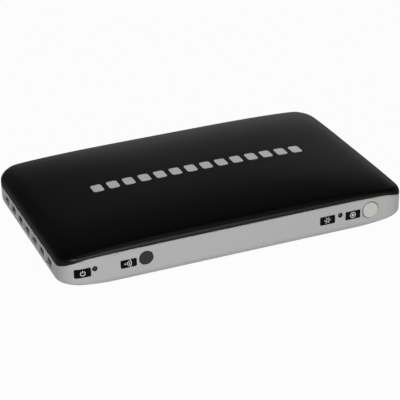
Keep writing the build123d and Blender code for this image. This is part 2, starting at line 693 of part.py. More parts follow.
with BuildPart() as switch_cover:
    with BuildSketch(Plane.XY.offset(BOARD_TOP)):
        with Locations((BUTTON_X, SWITCH_FRONT - SWITCH_COVER)):
            Rectangle(SWITCH_WIDTH + 2 * SWITCH_COVER, SWITCH_DEPTH, align=(Align.CENTER, Align.MIN))
        with Locations((BUTTON_X, SWITCH_FRONT)):
            Rectangle(SWITCH_WIDTH, SWITCH_DEPTH, align=(Align.CENTER, Align.MIN), mode=Mode.SUBTRACT)
    extrude(amount=BUTTON_Z + SWITCH_ABOVE_BUTTON - BOARD_TOP)
    with BuildSketch(front_plane(SWITCH_FRONT)):
        with Locations((BUTTON_X, BUTTON_Z)):
            Circle(PLUNGER_RADIUS + PLUNGER_CLEARANCE)
    extrude(amount=SWITCH_COVER, mode=Mode.SUBTRACT)
save(switch_cover.part, "tact_switch_cover")

# Infrared window in the front wall and the receiver that looks through it
with BuildPart() as ir_window:
    with BuildSketch(front_plane(FRONT_INNER)):
        with Locations((WINDOW_X, WINDOW_Z)):
            Circle(WINDOW_RADIUS)
    extrude(amount=CASE_WALL - WINDOW_RECESS)
    fillet(ir_window.faces().sort_by(Axis.Y)[0].edges(), WINDOW_RECESS)
    with BuildSketch(front_plane(FRONT_INNER + WINDOW_FLANGE_THICKNESS)):
        with Locations((WINDOW_X, WINDOW_Z)):
            Circle(WINDOW_RADIUS + WINDOW_FLANGE)
    extrude(amount=WINDOW_FLANGE_THICKNESS)
save(ir_window.part, "ir_window")

receiver_front = BOARD_FRONT + RECEIVER_EDGE_GAP
receiver_nose = FRONT_INNER + WINDOW_FLANGE_THICKNESS + SIGHT_GAP
with BuildPart() as ir_receiver:
    with BuildSketch(Plane.XY.offset(BOARD_TOP)):
        with Locations((WINDOW_X, receiver_front)):
            Rectangle(RECEIVER_WIDTH, RECEIVER_DEPTH, align=(Align.CENTER, Align.MIN))
    extrude(amount=WINDOW_Z + RECEIVER_ABOVE_WINDOW - BOARD_TOP)
    with BuildSketch(front_plane(receiver_front)):
        with Locations((WINDOW_X, WINDOW_Z)):
            Circle(RECEIVER_DOME)
    extrude(amount=receiver_front - receiver_nose)
    fillet(ir_receiver.faces().sort_by(Axis.Y)[0].edges(), RECEIVER_DOME_EDGE)
save(ir_receiver.part, "ir_receiver")

# Lights: a clear pipe in the wall and an emitter behind it
light_pipe("power_light_pipe", ON_LIGHT_X)
light_pipe("rec_light_pipe", REC_LIGHT_X)
led("power_led", ON_LIGHT_X)
led_back = led("rec_led", REC_LIGHT_X)
led_legs((ON_LIGHT_X, REC_LIGHT_X), led_back)

# Sockets
hdmi_socket("hdmi_in", HDMI_IN_X)
hdmi_socket("hdmi_out", HDMI_OUT_X)

with BuildPart() as usb_shell:
    with BuildSketch(front_plane(MOUTH)):
        with Locations((USB_X, USB_Z)):
            Rectangle(USB_WIDTH + 2 * USB_SHELL, USB_HEIGHT + 2 * USB_SHELL)
            Rectangle(USB_WIDTH, USB_HEIGHT, mode=Mode.SUBTRACT)
    extrude(amount=USB_DEPTH)
save(usb_shell.part, "usb_shell")

usb_tongue_z = USB_Z + USB_HEIGHT / 2 - USB_TONGUE_THICKNESS
with BuildPart() as usb_tongue:
    with BuildSketch(front_plane(MOUTH - USB_DEPTH + USB_BACK)):
        with Locations((USB_X, USB_Z)):
            Rectangle(USB_WIDTH, USB_HEIGHT)
    extrude(amount=USB_BACK)
    with BuildSketch(front_plane(MOUTH - USB_TONGUE_RECESS)):
        with Locations((USB_X, usb_tongue_z)):
            Rectangle(USB_TONGUE_WIDTH, USB_TONGUE_THICKNESS, align=(Align.CENTER, Align.MIN))
    extrude(amount=USB_DEPTH - USB_TONGUE_RECESS - USB_BACK)
save(usb_tongue.part, "usb_tongue")

with BuildPart() as usb_contacts:
    with BuildSketch(front_plane(MOUTH - 2 * USB_TONGUE_RECESS)):
        for contact_x in USB_CONTACT_PLACES:
            with Locations((USB_X + contact_x, usb_tongue_z)):
                Rectangle(USB_CONTACT_WIDTH, CONTACT_THICKNESS, align=(Align.CENTER, Align.MAX))
    extrude(amount=CONTACT_LENGTH)
save(usb_contacts.part, "usb_contacts")

with BuildPart() as mic_housing:
    with BuildSketch(front_plane(HOUSING_FACE)):
        with Locations((MIC_X, MIC_Z)):
            Rectangle(MIC_HOUSING_WIDTH, MIC_HOUSING_HEIGHT)
    extrude(amount=MIC_HOUSING_DEPTH)
    with BuildSketch(front_plane(HOUSING_FACE)):
        with Locations((MIC_X, MIC_Z)):
            Circle(MIC_BORE)
    extrude(amount=MIC_HOUSING_DEPTH - JACK_BACK, mode=Mode.SUBTRACT)
save(mic_housing.part, "mic_jack_housing")

with BuildPart() as mic_bush:
    with BuildSketch(front_plane(MOUTH)):
        with Locations((MIC_X, MIC_Z)):
            Circle(MIC_BUSH_RADIUS)
            Circle(MIC_BORE, mode=Mode.SUBTRACT)
    extrude(amount=MOUTH - HOUSING_FACE)
    chamfer(mic_bush.faces().sort_by(Axis.Y)[-1].outer_wire().edges(), SOCKET_PROUD / 2)
save(mic_bush.part, "mic_jack_bush")

with BuildPart() as power_jack:
    with BuildSketch(front_plane(HOUSING_FACE)):
        with Locations((DC_X, DC_Z)):
            Rectangle(DC_HOUSING_WIDTH, DC_HOUSING_HEIGHT)
    extrude(amount=DC_HOUSING_DEPTH)
    with BuildSketch(front_plane(REAR)):
        with Locations((DC_X, DC_Z)):
            Circle(DC_COLLAR_RADIUS)
    extrude(amount=REAR - HOUSING_FACE)
    with BuildSketch(front_plane(REAR)):
        with Locations((DC_X, DC_Z)):
            Circle(DC_BORE)
    extrude(amount=REAR - HOUSING_FACE + DC_HOUSING_DEPTH - JACK_BACK, mode=Mode.SUBTRACT)
save(power_jack.part, "dc_jack_housing")

with BuildPart() as power_pin:
    with BuildSketch(front_plane(REAR - DC_PIN_RECESS)):
        with Locations((DC_X, DC_Z)):
            Circle(DC_PIN_RADIUS)
    extrude(amount=REAR - DC_PIN_RECESS - HOUSING_FACE + DC_HOUSING_DEPTH - JACK_BACK)
    fillet(power_pin.faces().sort_by(Axis.Y)[-1].edges(), DC_PIN_RADIUS / 2)
save(power_pin.part, "dc_jack_pin")

# Encoder with its thermal pad and finned heat sink
chip("encoder_chip", (ENCODER_X, ENCODER_Y), ENCODER_SIZE, ENCODER_SIZE, ENCODER_HEIGHT)
with BuildPart() as thermal_pad:
    with BuildSketch(Plane.XY.offset(BOARD_TOP + ENCODER_HEIGHT)):
        with Locations((ENCODER_X, ENCODER_Y)):
            Rectangle(PAD_SIZE, PAD_SIZE)
    extrude(amount=PAD_THICKNESS)
save(thermal_pad.part, "thermal_pad")

fin_pitch = (SINK_SIZE - SINK_FIN_THICKNESS) / (SINK_FIN_COUNT - 1)
with BuildPart() as heat_sink:
    with BuildSketch(Plane.XY.offset(BOARD_TOP + ENCODER_HEIGHT + PAD_THICKNESS)):
        with Locations((ENCODER_X, ENCODER_Y)):
            Rectangle(SINK_SIZE, SINK_SIZE)
    extrude(amount=SINK_BASE)
    with BuildSketch(Plane.XY.offset(BOARD_TOP + ENCODER_HEIGHT + PAD_THICKNESS + SINK_BASE)):
        with Locations((ENCODER_X, ENCODER_Y)):
            with GridLocations(fin_pitch, 0, SINK_FIN_COUNT, 1):
                Rectangle(SINK_FIN_THICKNESS, SINK_SIZE)
    extrude(amount=SINK_FIN_HEIGHT)
save(heat_sink.part, "heat_sink")

# The other chips
for memory_name, side in (("rear", 1), ("front", -1)):
    memory_place = (ENCODER_X - ENCODER_TO_MEMORY, ENCODER_Y + side * MEMORY_SPREAD)
    chip(f"memory_chip_{memory_name}", memory_place, MEMORY_WIDTH, MEMORY_DEPTH, MEMORY_HEIGHT)
flash_place = (ENCODER_X - ENCODER_TO_FLASH, BOARD_FRONT + FLASH_FROM_EDGE)
chip("flash_chip", flash_place, FLASH_WIDTH, FLASH_DEPTH, FLASH_HEIGHT)
for chip_name, chip_x, chip_size in (
    ("hdmi_receiver_chip", HDMI_IN_X, RECEIVER_CHIP_SIZE),
    ("hdmi_driver_chip", HDMI_OUT_X, DRIVER_CHIP_SIZE),
    ("audio_codec_chip", MIC_X, CODEC_SIZE),
):
    chip(chip_name, (chip_x, REAR_CHIPS_Y), chip_size, chip_size, SMALL_CHIP_HEIGHT)

# Crystal can, inductors and capacitors
with BuildPart() as crystal:
    with BuildSketch(Plane.XY.offset(BOARD_TOP)):
        with Locations((ENCODER_X + ENCODER_TO_CRYSTAL, BOARD_FRONT + CRYSTAL_FROM_EDGE)):
            SlotOverall(CRYSTAL_WIDTH, CRYSTAL_DEPTH)
    extrude(amount=CRYSTAL_HEIGHT)
    fillet(crystal.faces().sort_by(Axis.Z)[-1].edges(), CRYSTAL_HEIGHT / 8)
save(crystal.part, "crystal")

with BuildPart() as inductors:
    with BuildSketch(Plane.XY.offset(BOARD_TOP)):
        with Locations((DC_X - DC_TO_INDUCTORS, ENCODER_Y)):
            with GridLocations(0, INDUCTOR_PITCH, 1, 2):
                RectangleRounded(INDUCTOR_SIZE, INDUCTOR_SIZE, INDUCTOR_CORNER)
    extrude(amount=INDUCTOR_HEIGHT)
save(inductors.part, "power_inductors")

with BuildPart() as capacitors:
    with BuildSketch(Plane.XY.offset(BOARD_TOP)):
        with Locations((DC_X + DC_TO_CAPACITORS, 0)):
            with GridLocations(0, CAPACITOR_PITCH, 1, 2):
                Rectangle(2 * CAPACITOR_RADIUS, 2 * CAPACITOR_RADIUS)
    extrude(amount=CAPACITOR_BASE)
    with BuildSketch(Plane.XY.offset(BOARD_TOP + CAPACITOR_BASE)):
        with Locations((DC_X + DC_TO_CAPACITORS, 0)):
            with GridLocations(0, CAPACITOR_PITCH, 1, 2):
                Circle(CAPACITOR_RADIUS - CAPACITOR_GROOVE)
    extrude(amount=CAPACITOR_GROOVE)
    with BuildSketch(Plane.XY.offset(BOARD_TOP + CAPACITOR_BASE + CAPACITOR_GROOVE)):
        with Locations((DC_X + DC_TO_CAPACITORS, 0)):
            with GridLocations(0, CAPACITOR_PITCH, 1, 2):
                Circle(CAPACITOR_RADIUS)
    extrude(amount=CAPACITOR_HEIGHT - CAPACITOR_BASE - CAPACITOR_GROOVE)
    fillet(capacitors.faces().group_by(Axis.Z)[-1].edges(), CAPACITOR_GROOVE)
save(capacitors.part, "filter_capacitors")
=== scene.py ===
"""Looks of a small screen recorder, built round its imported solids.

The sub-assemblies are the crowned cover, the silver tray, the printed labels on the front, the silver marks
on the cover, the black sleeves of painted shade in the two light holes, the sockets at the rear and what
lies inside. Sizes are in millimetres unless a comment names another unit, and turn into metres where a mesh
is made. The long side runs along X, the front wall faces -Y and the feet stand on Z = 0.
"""

import json
import logging
import math
from dataclasses import dataclass
from functools import cache
from typing import Callable, Iterable

import bpy
from bpy.types import Material, Node, NodeOutputs, NodeSocket, NodeTree, Object
from mathutils import Matrix, Vector

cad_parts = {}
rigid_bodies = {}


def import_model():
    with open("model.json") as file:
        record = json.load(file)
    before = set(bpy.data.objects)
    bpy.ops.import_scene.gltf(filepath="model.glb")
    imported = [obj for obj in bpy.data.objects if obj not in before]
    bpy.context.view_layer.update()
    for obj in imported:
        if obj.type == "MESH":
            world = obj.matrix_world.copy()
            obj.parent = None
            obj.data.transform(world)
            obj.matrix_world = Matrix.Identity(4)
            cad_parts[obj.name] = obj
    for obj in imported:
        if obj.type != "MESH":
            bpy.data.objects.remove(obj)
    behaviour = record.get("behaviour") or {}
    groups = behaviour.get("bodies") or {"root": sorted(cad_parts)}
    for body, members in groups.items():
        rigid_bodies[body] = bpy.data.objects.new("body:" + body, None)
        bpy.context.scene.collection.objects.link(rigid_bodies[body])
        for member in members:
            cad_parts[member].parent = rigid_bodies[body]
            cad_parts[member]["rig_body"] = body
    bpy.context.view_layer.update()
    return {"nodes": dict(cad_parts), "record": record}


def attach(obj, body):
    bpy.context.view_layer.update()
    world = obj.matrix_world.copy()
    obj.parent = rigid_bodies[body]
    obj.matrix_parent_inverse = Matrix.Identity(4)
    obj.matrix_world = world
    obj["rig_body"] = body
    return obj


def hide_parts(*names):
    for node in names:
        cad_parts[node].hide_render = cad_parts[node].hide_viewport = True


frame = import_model()

MM = 0.001
MERGE_DISTANCE = 0.002
LOG = logging.getLogger("recorder")

Pair = tuple[float, float]
Triple = tuple[float, float, float]
Colour = tuple[float, float, float, float]
Sources = dict[str | int, object]


# Hand tools for meshes


def pick(piece: Object) -> None:
    """Makes one piece the only selected object and the active one."""
    bpy.ops.object.select_all(action="DESELECT")
    piece.select_set(True)
    bpy.context.view_layer.objects.active = piece


def edit(piece: Object, kind: str = "FACE", action: str = "SELECT") -> None:
    """Opens a piece in edit mode, to select VERT, EDGE or FACE, with all of it selected or nothing."""
    pick(piece)
    bpy.ops.object.mode_set(mode="EDIT")
    bpy.ops.mesh.select_mode(type=kind)
    bpy.ops.mesh.select_all(action=action)


def leave() -> None:
    """Goes back from edit mode to object mode."""
    bpy.ops.object.mode_set(mode="OBJECT")


def work(piece: Object, operator: Callable, kind: str = "FACE", **settings: object) -> None:
    """Runs one mesh operator on all of a piece."""
    edit(piece, kind)
    operator(**settings)
    leave()


def merge(piece: Object) -> None:
    """Merges the points of a piece that lie on each other."""
    work(piece, bpy.ops.mesh.remove_doubles, "VERT", threshold=MERGE_DISTANCE * MM)


def slice_at(piece: Object, places: Iterable[float]) -> None:
    """Adds mesh lines across a piece at places along X."""
    for place in places:
        work(piece, bpy.ops.mesh.bisect, plane_co=(place * MM, 0.0, 0.0), plane_no=(1.0, 0.0, 0.0))


def settle(piece: Object) -> None:
    """Puts a piece's place, turn and scale into its mesh."""
    pick(piece)
    bpy.ops.object.transform_apply(location=True, rotation=True, scale=True)


def name_piece(piece: Object, name: str) -> Object:
    """Gives a piece and its mesh one name and returns the piece."""
    piece.name = name
    piece.data.name = name
    return piece


def join(pieces: list[Object], name: str) -> Object:
    """Joins pieces into one with a new name."""
    pick(pieces[0])
    for piece in pieces:
        piece.select_set(True)
    bpy.ops.object.join()
    return name_piece(bpy.context.object, name)


def apply_modifier(piece: Object, kind: str, **settings: object) -> None:
    """Gives a piece a modifier with some settings and applies it."""
    pick(piece)
    modifier = piece.modifiers.new(kind.lower(), kind)
    for label, value in settings.items():
        setattr(modifier, label, value)
    bpy.ops.object.modifier_apply(modifier=modifier.name)


def thicken(piece: Object, thickness: float) -> None:
    """Gives an open skin, whose faces point outwards, a wall on its inner side."""
    apply_modifier(piece, "SOLIDIFY", thickness=thickness * MM, offset=-1.0)


def smooth(piece: Object, angle: float = 32.0) -> None:
    """Shades a piece smooth, apart from the edges that turn by more than an angle in degrees."""
    pick(piece)
    bpy.ops.object.shade_smooth_by_angle(angle=math.radians(angle))
    apply_modifier(piece, "WEIGHTED_NORMAL", mode="FACE_AREA", weight=60, keep_sharp=True)


def cut(piece: Object, cutter: Object) -> None:
    """Cuts a cutter's shape out of a piece and throws the cutter away."""
    apply_modifier(piece, "BOOLEAN", operation="DIFFERENCE", solver="EXACT", object=cutter)
    bpy.data.objects.remove(cutter)


def rounded_plate(size: Pair, corner: float, steps: int, middle: Pair = (0.0, 0.0)) -> Object:
    """Makes a flat plate in the XY plane, with a corner radius and some mesh steps round each corner."""
    bpy.ops.mesh.primitive_plane_add(size=1.0, location=(middle[0] * MM, middle[1] * MM, 0.0))
    piece = bpy.context.object
    piece.scale = (size[0] * MM, size[1] * MM, 1.0)
    settle(piece)
    rounding = {"offset": corner * MM, "offset_type": "OFFSET", "segments": steps, "affect": "VERTICES"}
    work(piece, bpy.ops.mesh.bevel, "VERT", **rounding)
    return piece


def merged_copy(node: str) -> Object:
    """Copies a CAD node with its loose triangles merged. The copy rides and shows in the node's place."""
    source = frame["nodes"][node]
    piece = name_piece(bpy.data.objects.new(node + "_skin", source.data.copy()), node + "_skin")
    bpy.context.scene.collection.objects.link(piece)
    pick(piece)
    bpy.ops.mesh.customdata_custom_splitnormals_clear()
    merge(piece)
    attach(piece, source["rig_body"])
    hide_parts(node)
    return piece


# Shader wiring


class Wiring:
    """Adds nodes to a node tree and joins them by short calls.

    A source is another node's socket or a plain value.
    """

    def __init__(self, tree: NodeTree) -> None:
        """Keeps the tree that the calls work on."""
        self.tree = tree

    def fill(self, node: Node, sources: Sources) -> None:
        """Feeds a node's inputs, each from a source."""
        for label, source in sources.items():
            if isinstance(source, NodeSocket):
                self.tree.links.new(source, node.inputs[label])
            else:
                node.inputs[label].default_value = source

    def add(self, kind: str, sources: Sources | None = None, **settings: object) -> Node:
        """Adds a node, named without ShaderNode in front, and sets its own settings before its inputs."""
        made = self.tree.nodes.new("ShaderNode" + kind)
        for label, value in settings.items():
            setattr(made, label, value)
        self.fill(made, sources or {})
        return made

    def maths(self, operation: str, first: object, second: object) -> NodeSocket:
        """Returns the result of one operation on two sources."""
        return self.add("Math", {0: first, 1: second}, operation=operation).outputs[0]

    def spread(self, value: object, low: float, high: float, start: float = 0, end: float = 1) -> NodeSocket:
        """Maps a source from start and end to low and high, held at both ends, and returns the result."""
        sources = {"Value": value, "From Min": start, "From Max": end, "To Min": low, "To Max": high}
        return self.add("MapRange", sources, clamp=True).outputs["Result"]

    def blend(self, share: object, first: object, second: object) -> NodeSocket:
        """Mixes two colours by a share and returns the colour."""
        return self.add("Mix", {0: share, 6: first, 7: second}, data_type="RGBA").outputs[2]

    def noise(self, place: object, scale: object, detail: float = 2.0, roughness: float = 0.5) -> NodeSocket:
        """Returns the factor of a noise."""
        sources = {"Vector": place, "Scale": scale, "Detail": detail, "Roughness": roughness}
        return self.add("TexNoise", sources).outputs["Fac"]

    def object_place(self) -> NodeSocket:
        """Returns the object coordinates of the surface."""
        return self.add("TexCoord").outputs["Object"]

    def parts_of(self, vector: NodeSocket) -> NodeOutputs:
        """Returns the X, Y and Z of a vector."""
        return self.add("SeparateXYZ", {0: vector}).outputs

    def bump(self, height: NodeSocket, depth: float, strength: float = 0.5) -> NodeSocket:
        """Returns the normal of a height from 0 to 1, from its depth and how much of it shows."""
        sources = {"Height": height, "Distance": depth * MM, "Strength": strength}
        return self.add("Bump", sources).outputs["Normal"]


# Shader groups that several finishes share, each made once


def shader_group(name: str, inputs: dict[str, float], outputs: Iterable[str]) -> tuple[Wiring, Node, Node]:
    """Starts a shader group and returns its wiring, the node of its inputs and the node of its outputs."""
    group = bpy.data.node_groups.new(name, "ShaderNodeTree")
    for label, value in inputs.items():
        socket = group.interface.new_socket(name=label, in_out="INPUT", socket_type="NodeSocketFloat")
        socket.default_value = value
    for label in outputs:
        group.interface.new_socket(name=label, in_out="OUTPUT", socket_type="NodeSocketFloat")
    return Wiring(group), group.nodes.new("NodeGroupInput"), group.nodes.new("NodeGroupOutput")


@cache
def moulded_grain() -> NodeTree:
    """A moulding's fine grain: a height, and a mask of the grain's dimples."""
    wires, start, end = shader_group("moulded_grain", {"Grains Per Metre": 2600.0}, ("Height", "Dimples"))
    place = wires.object_place()
    fine = wires.noise(place, start.outputs[0], 3.0, 0.6)
    coarse = wires.noise(place, wires.maths("MULTIPLY", start.outputs[0], 0.23))
    height = wires.maths("ADD", wires.maths("MULTIPLY", fine, 0.7), wires.maths("MULTIPLY", coarse, 0.3))
    wires.fill(end, {"Height": height, "Dimples": wires.spread(fine, 1.0, 0.0, 0.35, 0.6)})
    return wires.tree


@cache
def handling() -> NodeTree:
    """What hands leave on a case: wide smudges and a little dust that settles on faces that look up."""
    inputs = {"Smudges Per Metre": 28.0, "Dust Strength": 1.0}
    wires, start, end = shader_group("handling", inputs, ("Smudge", "Dust"))
    place = wires.object_place()
    wide = wires.noise(place, start.outputs["Smudges Per Metre"], 4.0, 0.6)
    specks = wires.noise(place, 5200.0, 1.0)
    settled = wires.spread(specks, 0.0, 1.0, 0.72, 0.8)
    normal = wires.parts_of(wires.add("NewGeometry").outputs["Normal"])
    upward = wires.spread(normal["Z"], 0.0, 1.0, 0.3, 1.0)
    dust = wires.maths("MULTIPLY", wires.maths("MULTIPLY", settled, upward), start.outputs["Dust Strength"])
    wires.fill(end, {"Smudge": wires.spread(wide, 0.0, 1.0, 0.42, 0.68), "Dust": dust})
    return wires.tree


@cache
def paint_flake() -> NodeTree:
    """The flakes of a metallic paint: how light each one is, and how it tilts as a height."""
    inputs = {"Flakes Per Metre": 5200.0, "Contrast": 1.0}
    wires, start, end = shader_group("paint_flake", inputs, ("Lightness", "Height"))
    sources = {"Vector": wires.object_place(), "Scale": start.outputs["Flakes Per Metre"]}
    cells = wires.add("TexVoronoi", sources, feature="F1")
    tone = wires.add("SeparateColor", {0: cells.outputs["Color"]})
    centred = wires.maths("SUBTRACT", tone.outputs[0], 0.5)
    lightness = wires.maths("MULTIPLY", centred, start.outputs["Contrast"])
    wires.fill(end, {"Lightness": wires.maths("ADD", lightness, 0.5), "Height": tone.outputs[1]})
    return wires.tree


@cache
def drawn_lines() -> NodeTree:
    """Fine drawn lines along a sheet's length: a height and a mask."""
    wires, _, end = shader_group("drawn_lines", {}, ("Height", "Lines"))
    stretch = wires.add("Mapping", {"Vector": wires.object_place(), "Scale": (1.0, 0.05, 1.0)})
    lines = wires.noise(stretch.outputs["Vector"], 9000.0, 2.0, 0.6)
    wires.fill(end, {"Height": lines, "Lines": wires.spread(lines, 0.0, 1.0, 0.35, 0.65)})
    return wires.tree


# Finishes


def grey(value: float) -> Colour:
    """Returns a neutral colour of one value."""
    return (value, value, value, 1.0)


def shade(colour: Triple, factor: float = 1.0) -> Colour:
    """Returns a colour made darker or lighter by a factor."""
    return (colour[0] * factor, colour[1] * factor, colour[2] * factor, 1.0)


@dataclass(frozen=True)
class Finish:
    """A surface finish, which says what feeds the Principled shader."""

    name: str
    colour: Triple

    def sources(self, wires: Wiring) -> Sources:
        """Returns what feeds each input of the shader."""
        return {"Base Color": shade(self.colour)}

    @cache
    def material(self) -> Material:
        """Returns the finish's material, made the first time it is asked for."""
        made = bpy.data.materials.new(self.name)
        made.use_nodes = True
        wires = Wiring(made.node_tree)
        wires.fill(made.node_tree.nodes["Principled BSDF"], self.sources(wires))
        return made


@dataclass(frozen=True)
class Moulding(Finish):
    """A moulded plastic or rubber with grain, smudges and dust."""

    roughness: float = 0.4  # of a clean patch
    grains: float = 2600.0  # grains in a metre
    depth: float = 0.01  # the grain's depth
    specular: float = 0.5
    smudge: float = 0.06  # how much smudges change the roughness
    dust: float = 0.3  # how much dust lies on it, from 0 to 1
    satin: Pair | None = None  # the weight of a satin skin, seen straight on and at a flat angle

    def sources(self, wires: Wiring) -> Sources:
        """Lays smudges and dust over the grain, and a satin skin where the moulding has one."""
        grain = wires.add("Group", {"Grains Per Metre": self.grains}, node_tree=moulded_grain()).outputs
        touch = wires.add("Group", {"Dust Strength": self.dust}, node_tree=handling()).outputs
        dimpled = wires.blend(grain["Dimples"], shade(self.colour, 1.05), shade(self.colour, 0.86))
        smudged = wires.spread(touch["Smudge"], self.roughness, self.roughness + self.smudge)
        sources = {
            "Base Color": wires.blend(touch["Dust"], dimpled, grey(0.35)),
            "Roughness": wires.maths("ADD", smudged, wires.maths("MULTIPLY", grain["Dimples"], 0.05)),
            "Specular IOR Level": self.specular,
            "Normal": wires.bump(grain["Height"], self.depth),
        }
        if self.satin is not None:
            straight, flat = self.satin
            facing = wires.add("LayerWeight").outputs["Facing"]
            sources["Coat Weight"] = wires.spread(facing, straight, flat, 0.1, 0.5)
            sources["Coat Roughness"] = self.roughness
        return sources


@dataclass(frozen=True)
class FlakePaint(Finish):
    """A satin metallic paint on a moulding."""

    metallic: float = 0.1
    roughness: float = 0.46
    contrast: float = 0.35
    flakes: float = 5200.0
    grains: float = 1500.0
    depth: float = 0.004
    specular: float = 0.35

    def sources(self, wires: Wiring) -> Sources:
        """Scatters flakes over the grain and lays smudges and dust on them."""
        kind = {"Flakes Per Metre": self.flakes, "Contrast": self.contrast}
        flake = wires.add("Group", kind, node_tree=paint_flake()).outputs
        grain = wires.add("Group", {"Grains Per Metre": self.grains}, node_tree=moulded_grain()).outputs
        touch = wires.add("Group", {"Dust Strength": 0.3}, node_tree=handling()).outputs
        painted = wires.blend(flake["Lightness"], shade(self.colour, 0.88), shade(self.colour, 1.1))
        uneven = wires.maths("MULTIPLY", flake["Height"], 0.35)
        return {
            "Base Color": wires.blend(touch["Dust"], painted, grey(0.4)),
            "Roughness": wires.spread(touch["Smudge"], self.roughness, self.roughness + 0.07),
            "Metallic": self.metallic,
            "Specular IOR Level": self.specular,
            "Normal": wires.bump(wires.maths("ADD", uneven, grain["Height"]), self.depth, 0.4),
        }


@dataclass(frozen=True)
class SheetMetal(Finish):
    """A plated or bare metal with drawn lines."""

    roughness: float
    depth: float = 0.002

    def sources(self, wires: Wiring) -> Sources:
        """Lays smudges over the drawn lines."""
        drawn = wires.add("Group", node_tree=drawn_lines()).outputs
        smudge = wires.add("Group", node_tree=handling()).outputs["Smudge"]
        toned = wires.blend(drawn["Lines"], shade(self.colour, 0.92), shade(self.colour, 1.04))
        return {
            "Base Color": wires.blend(wires.maths("MULTIPLY", smudge, 0.3), toned, shade(self.colour, 0.8)),
            "Roughness": wires.spread(smudge, self.roughness, self.roughness + 0.12),
            "Metallic": 1.0,
            "Normal": wires.bump(drawn["Height"], self.depth),
        }


@dataclass(frozen=True)
class ClearPlastic(Finish):
    """A see-through moulding, such as a light pipe or a dark window."""

    cloud: Triple  # the tint where it looks cloudy
    transmission: float
    roughness: float
    index: float = 1.49

    def sources(self, wires: Wiring) -> Sources:
        """Clouds the tint with fine smudges."""
        smudge = wires.add("Group", {"Smudges Per Metre": 240.0}, node_tree=handling()).outputs["Smudge"]
        return {
            "Base Color": wires.blend(smudge, shade(self.colour), shade(self.cloud)),
            "Roughness": wires.spread(smudge, self.roughness, self.roughness + 0.1),
            "Transmission Weight": self.transmission,
            "IOR": self.index,
        }


@dataclass(frozen=True)
class PrintedInk(Finish):
    """Pad-printed ink, a little uneven at close range."""

    roughness: float = 0.5
    metallic: float = 0.0
    specular: float = 0.5
    grains: float = 7000.0
    depth: float = 0.002

    def sources(self, wires: Wiring) -> Sources:
        """Grains the ink."""
        grain = wires.add("Group", {"Grains Per Metre": self.grains}, node_tree=moulded_grain()).outputs
        return {
            "Base Color": wires.blend(grain["Dimples"], shade(self.colour, 1.04), shade(self.colour, 0.9)),
            "Roughness": wires.spread(grain["Dimples"], self.roughness, self.roughness + 0.1),
            "Metallic": self.metallic,
            "Specular IOR Level": self.specular,
            "Normal": wires.bump(grain["Height"], self.depth, 0.4),
        }


BLACK = (0.0026, 0.003, 0.0028)
SMOKE = (0.014, 0.026, 0.021)
SLOT_FINISHES = {
    "cover_black": Moulding("satin_black", BLACK, 0.3, 2400.0, 0.003, 0.0, 0.04, 0.02, (0.34, 0.115)),
    "case_silver": FlakePaint("silver_paint", (0.46, 0.472, 0.47)),
    "button_white": Moulding("warm_white_key", (0.61, 0.61, 0.57), 0.4, 2600.0, 0.003, 0.45, 0.05, 0.1),
    "plunger_white": Moulding("plunger_white", (0.7, 0.7, 0.68), 0.45),
    "window_dark": ClearPlastic("smoked_window", SMOKE, (0.034, 0.023, 0.025), 0.35, 0.1, 1.36),
    "pipe_clear": ClearPlastic("smoky_pipe", (0.06, 0.062, 0.065), (0.09, 0.09, 0.09), 0.35, 0.2, 1.4),
    "led_lens": ClearPlastic("milky_lens", (0.7, 0.72, 0.7), (0.6, 0.62, 0.6), 0.5, 0.2),
    "board_green": Moulding("green_mask", (0.012, 0.09, 0.035), 0.3, 900.0, 0.006, 0.5, 0.1, 0.2),
    "screw_steel": SheetMetal("plated_screw", (0.46, 0.47, 0.48), 0.3),
    "foot_rubber": Moulding("foot_rubber", (0.014, 0.014, 0.015), 0.7, 1800.0, 0.02, 0.3, 0.1, 0.6),
    "sheet_steel": SheetMetal("tinned_sheet", (0.6, 0.6, 0.59), 0.25),
    "socket_black": Moulding("socket_black", (0.016, 0.016, 0.017), 0.5, 3000.0, 0.006, 0.45, 0.1, 0.3),
    "contact_gold": SheetMetal("contact_gold", (0.83, 0.6, 0.24), 0.2),
    "chip_black": Moulding("chip_black", (0.02, 0.02, 0.022), 0.62, 4200.0, 0.01, 0.4, 0.08, 0.3),
    "bush_nickel": SheetMetal("bush_nickel", (0.62, 0.61, 0.58), 0.2),
    "pad_grey": Moulding("pad_grey", (0.3, 0.31, 0.33), 0.7),
    "sink_aluminium": SheetMetal("sink_aluminium", (0.72, 0.73, 0.74), 0.35),
    "can_steel": SheetMetal("can_steel", (0.58, 0.58, 0.57), 0.22),
    "ferrite_grey": Moulding("ferrite_grey", (0.06, 0.06, 0.062), 0.7, 3600.0, 0.02, 0.4, 0.1, 0.3),
    "can_aluminium": SheetMetal("can_aluminium", (0.74, 0.75, 0.76), 0.24),
}
LABEL_BLACK = PrintedInk("label_black", (0.002, 0.0017, 0.002), specular=0.05)
LABEL_WHITE = PrintedInk("label_white", (0.6, 0.62, 0.63))
MARK_SILVER = PrintedInk("mark_silver", (0.66, 0.7, 0.7), 0.42, 0.1)
RAW_PLASTIC = Moulding("raw_plastic", (0.16, 0.16, 0.163), 0.6, 1600.0, 0.008, 0.3, 0.08, 0.1)
# Painted shade: a near-black for the sleeves that stand in for the shadow in the gaps round the light pipes.
SHADE_SLEEVE_BLACK = Moulding("painted_shade_black", (0.003, 0.003, 0.003), 0.6, 3000.0, 0.004, 0.12, 0.05, 0.05)


def dress(piece: Object, finish: Finish, body: str = "") -> None:
    """Gives a piece a finish and reports it.

    The piece rides on the body, where one is given. A CAD node keeps its own body, and a copy
    of one its body.
    """
    piece.data.materials.clear()
    piece.data.materials.append(finish.material())
    if body:
        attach(piece, body)
    LOG.info("%s: %d faces, %s", piece.name, len(piece.data.polygons), finish.name)


# The case


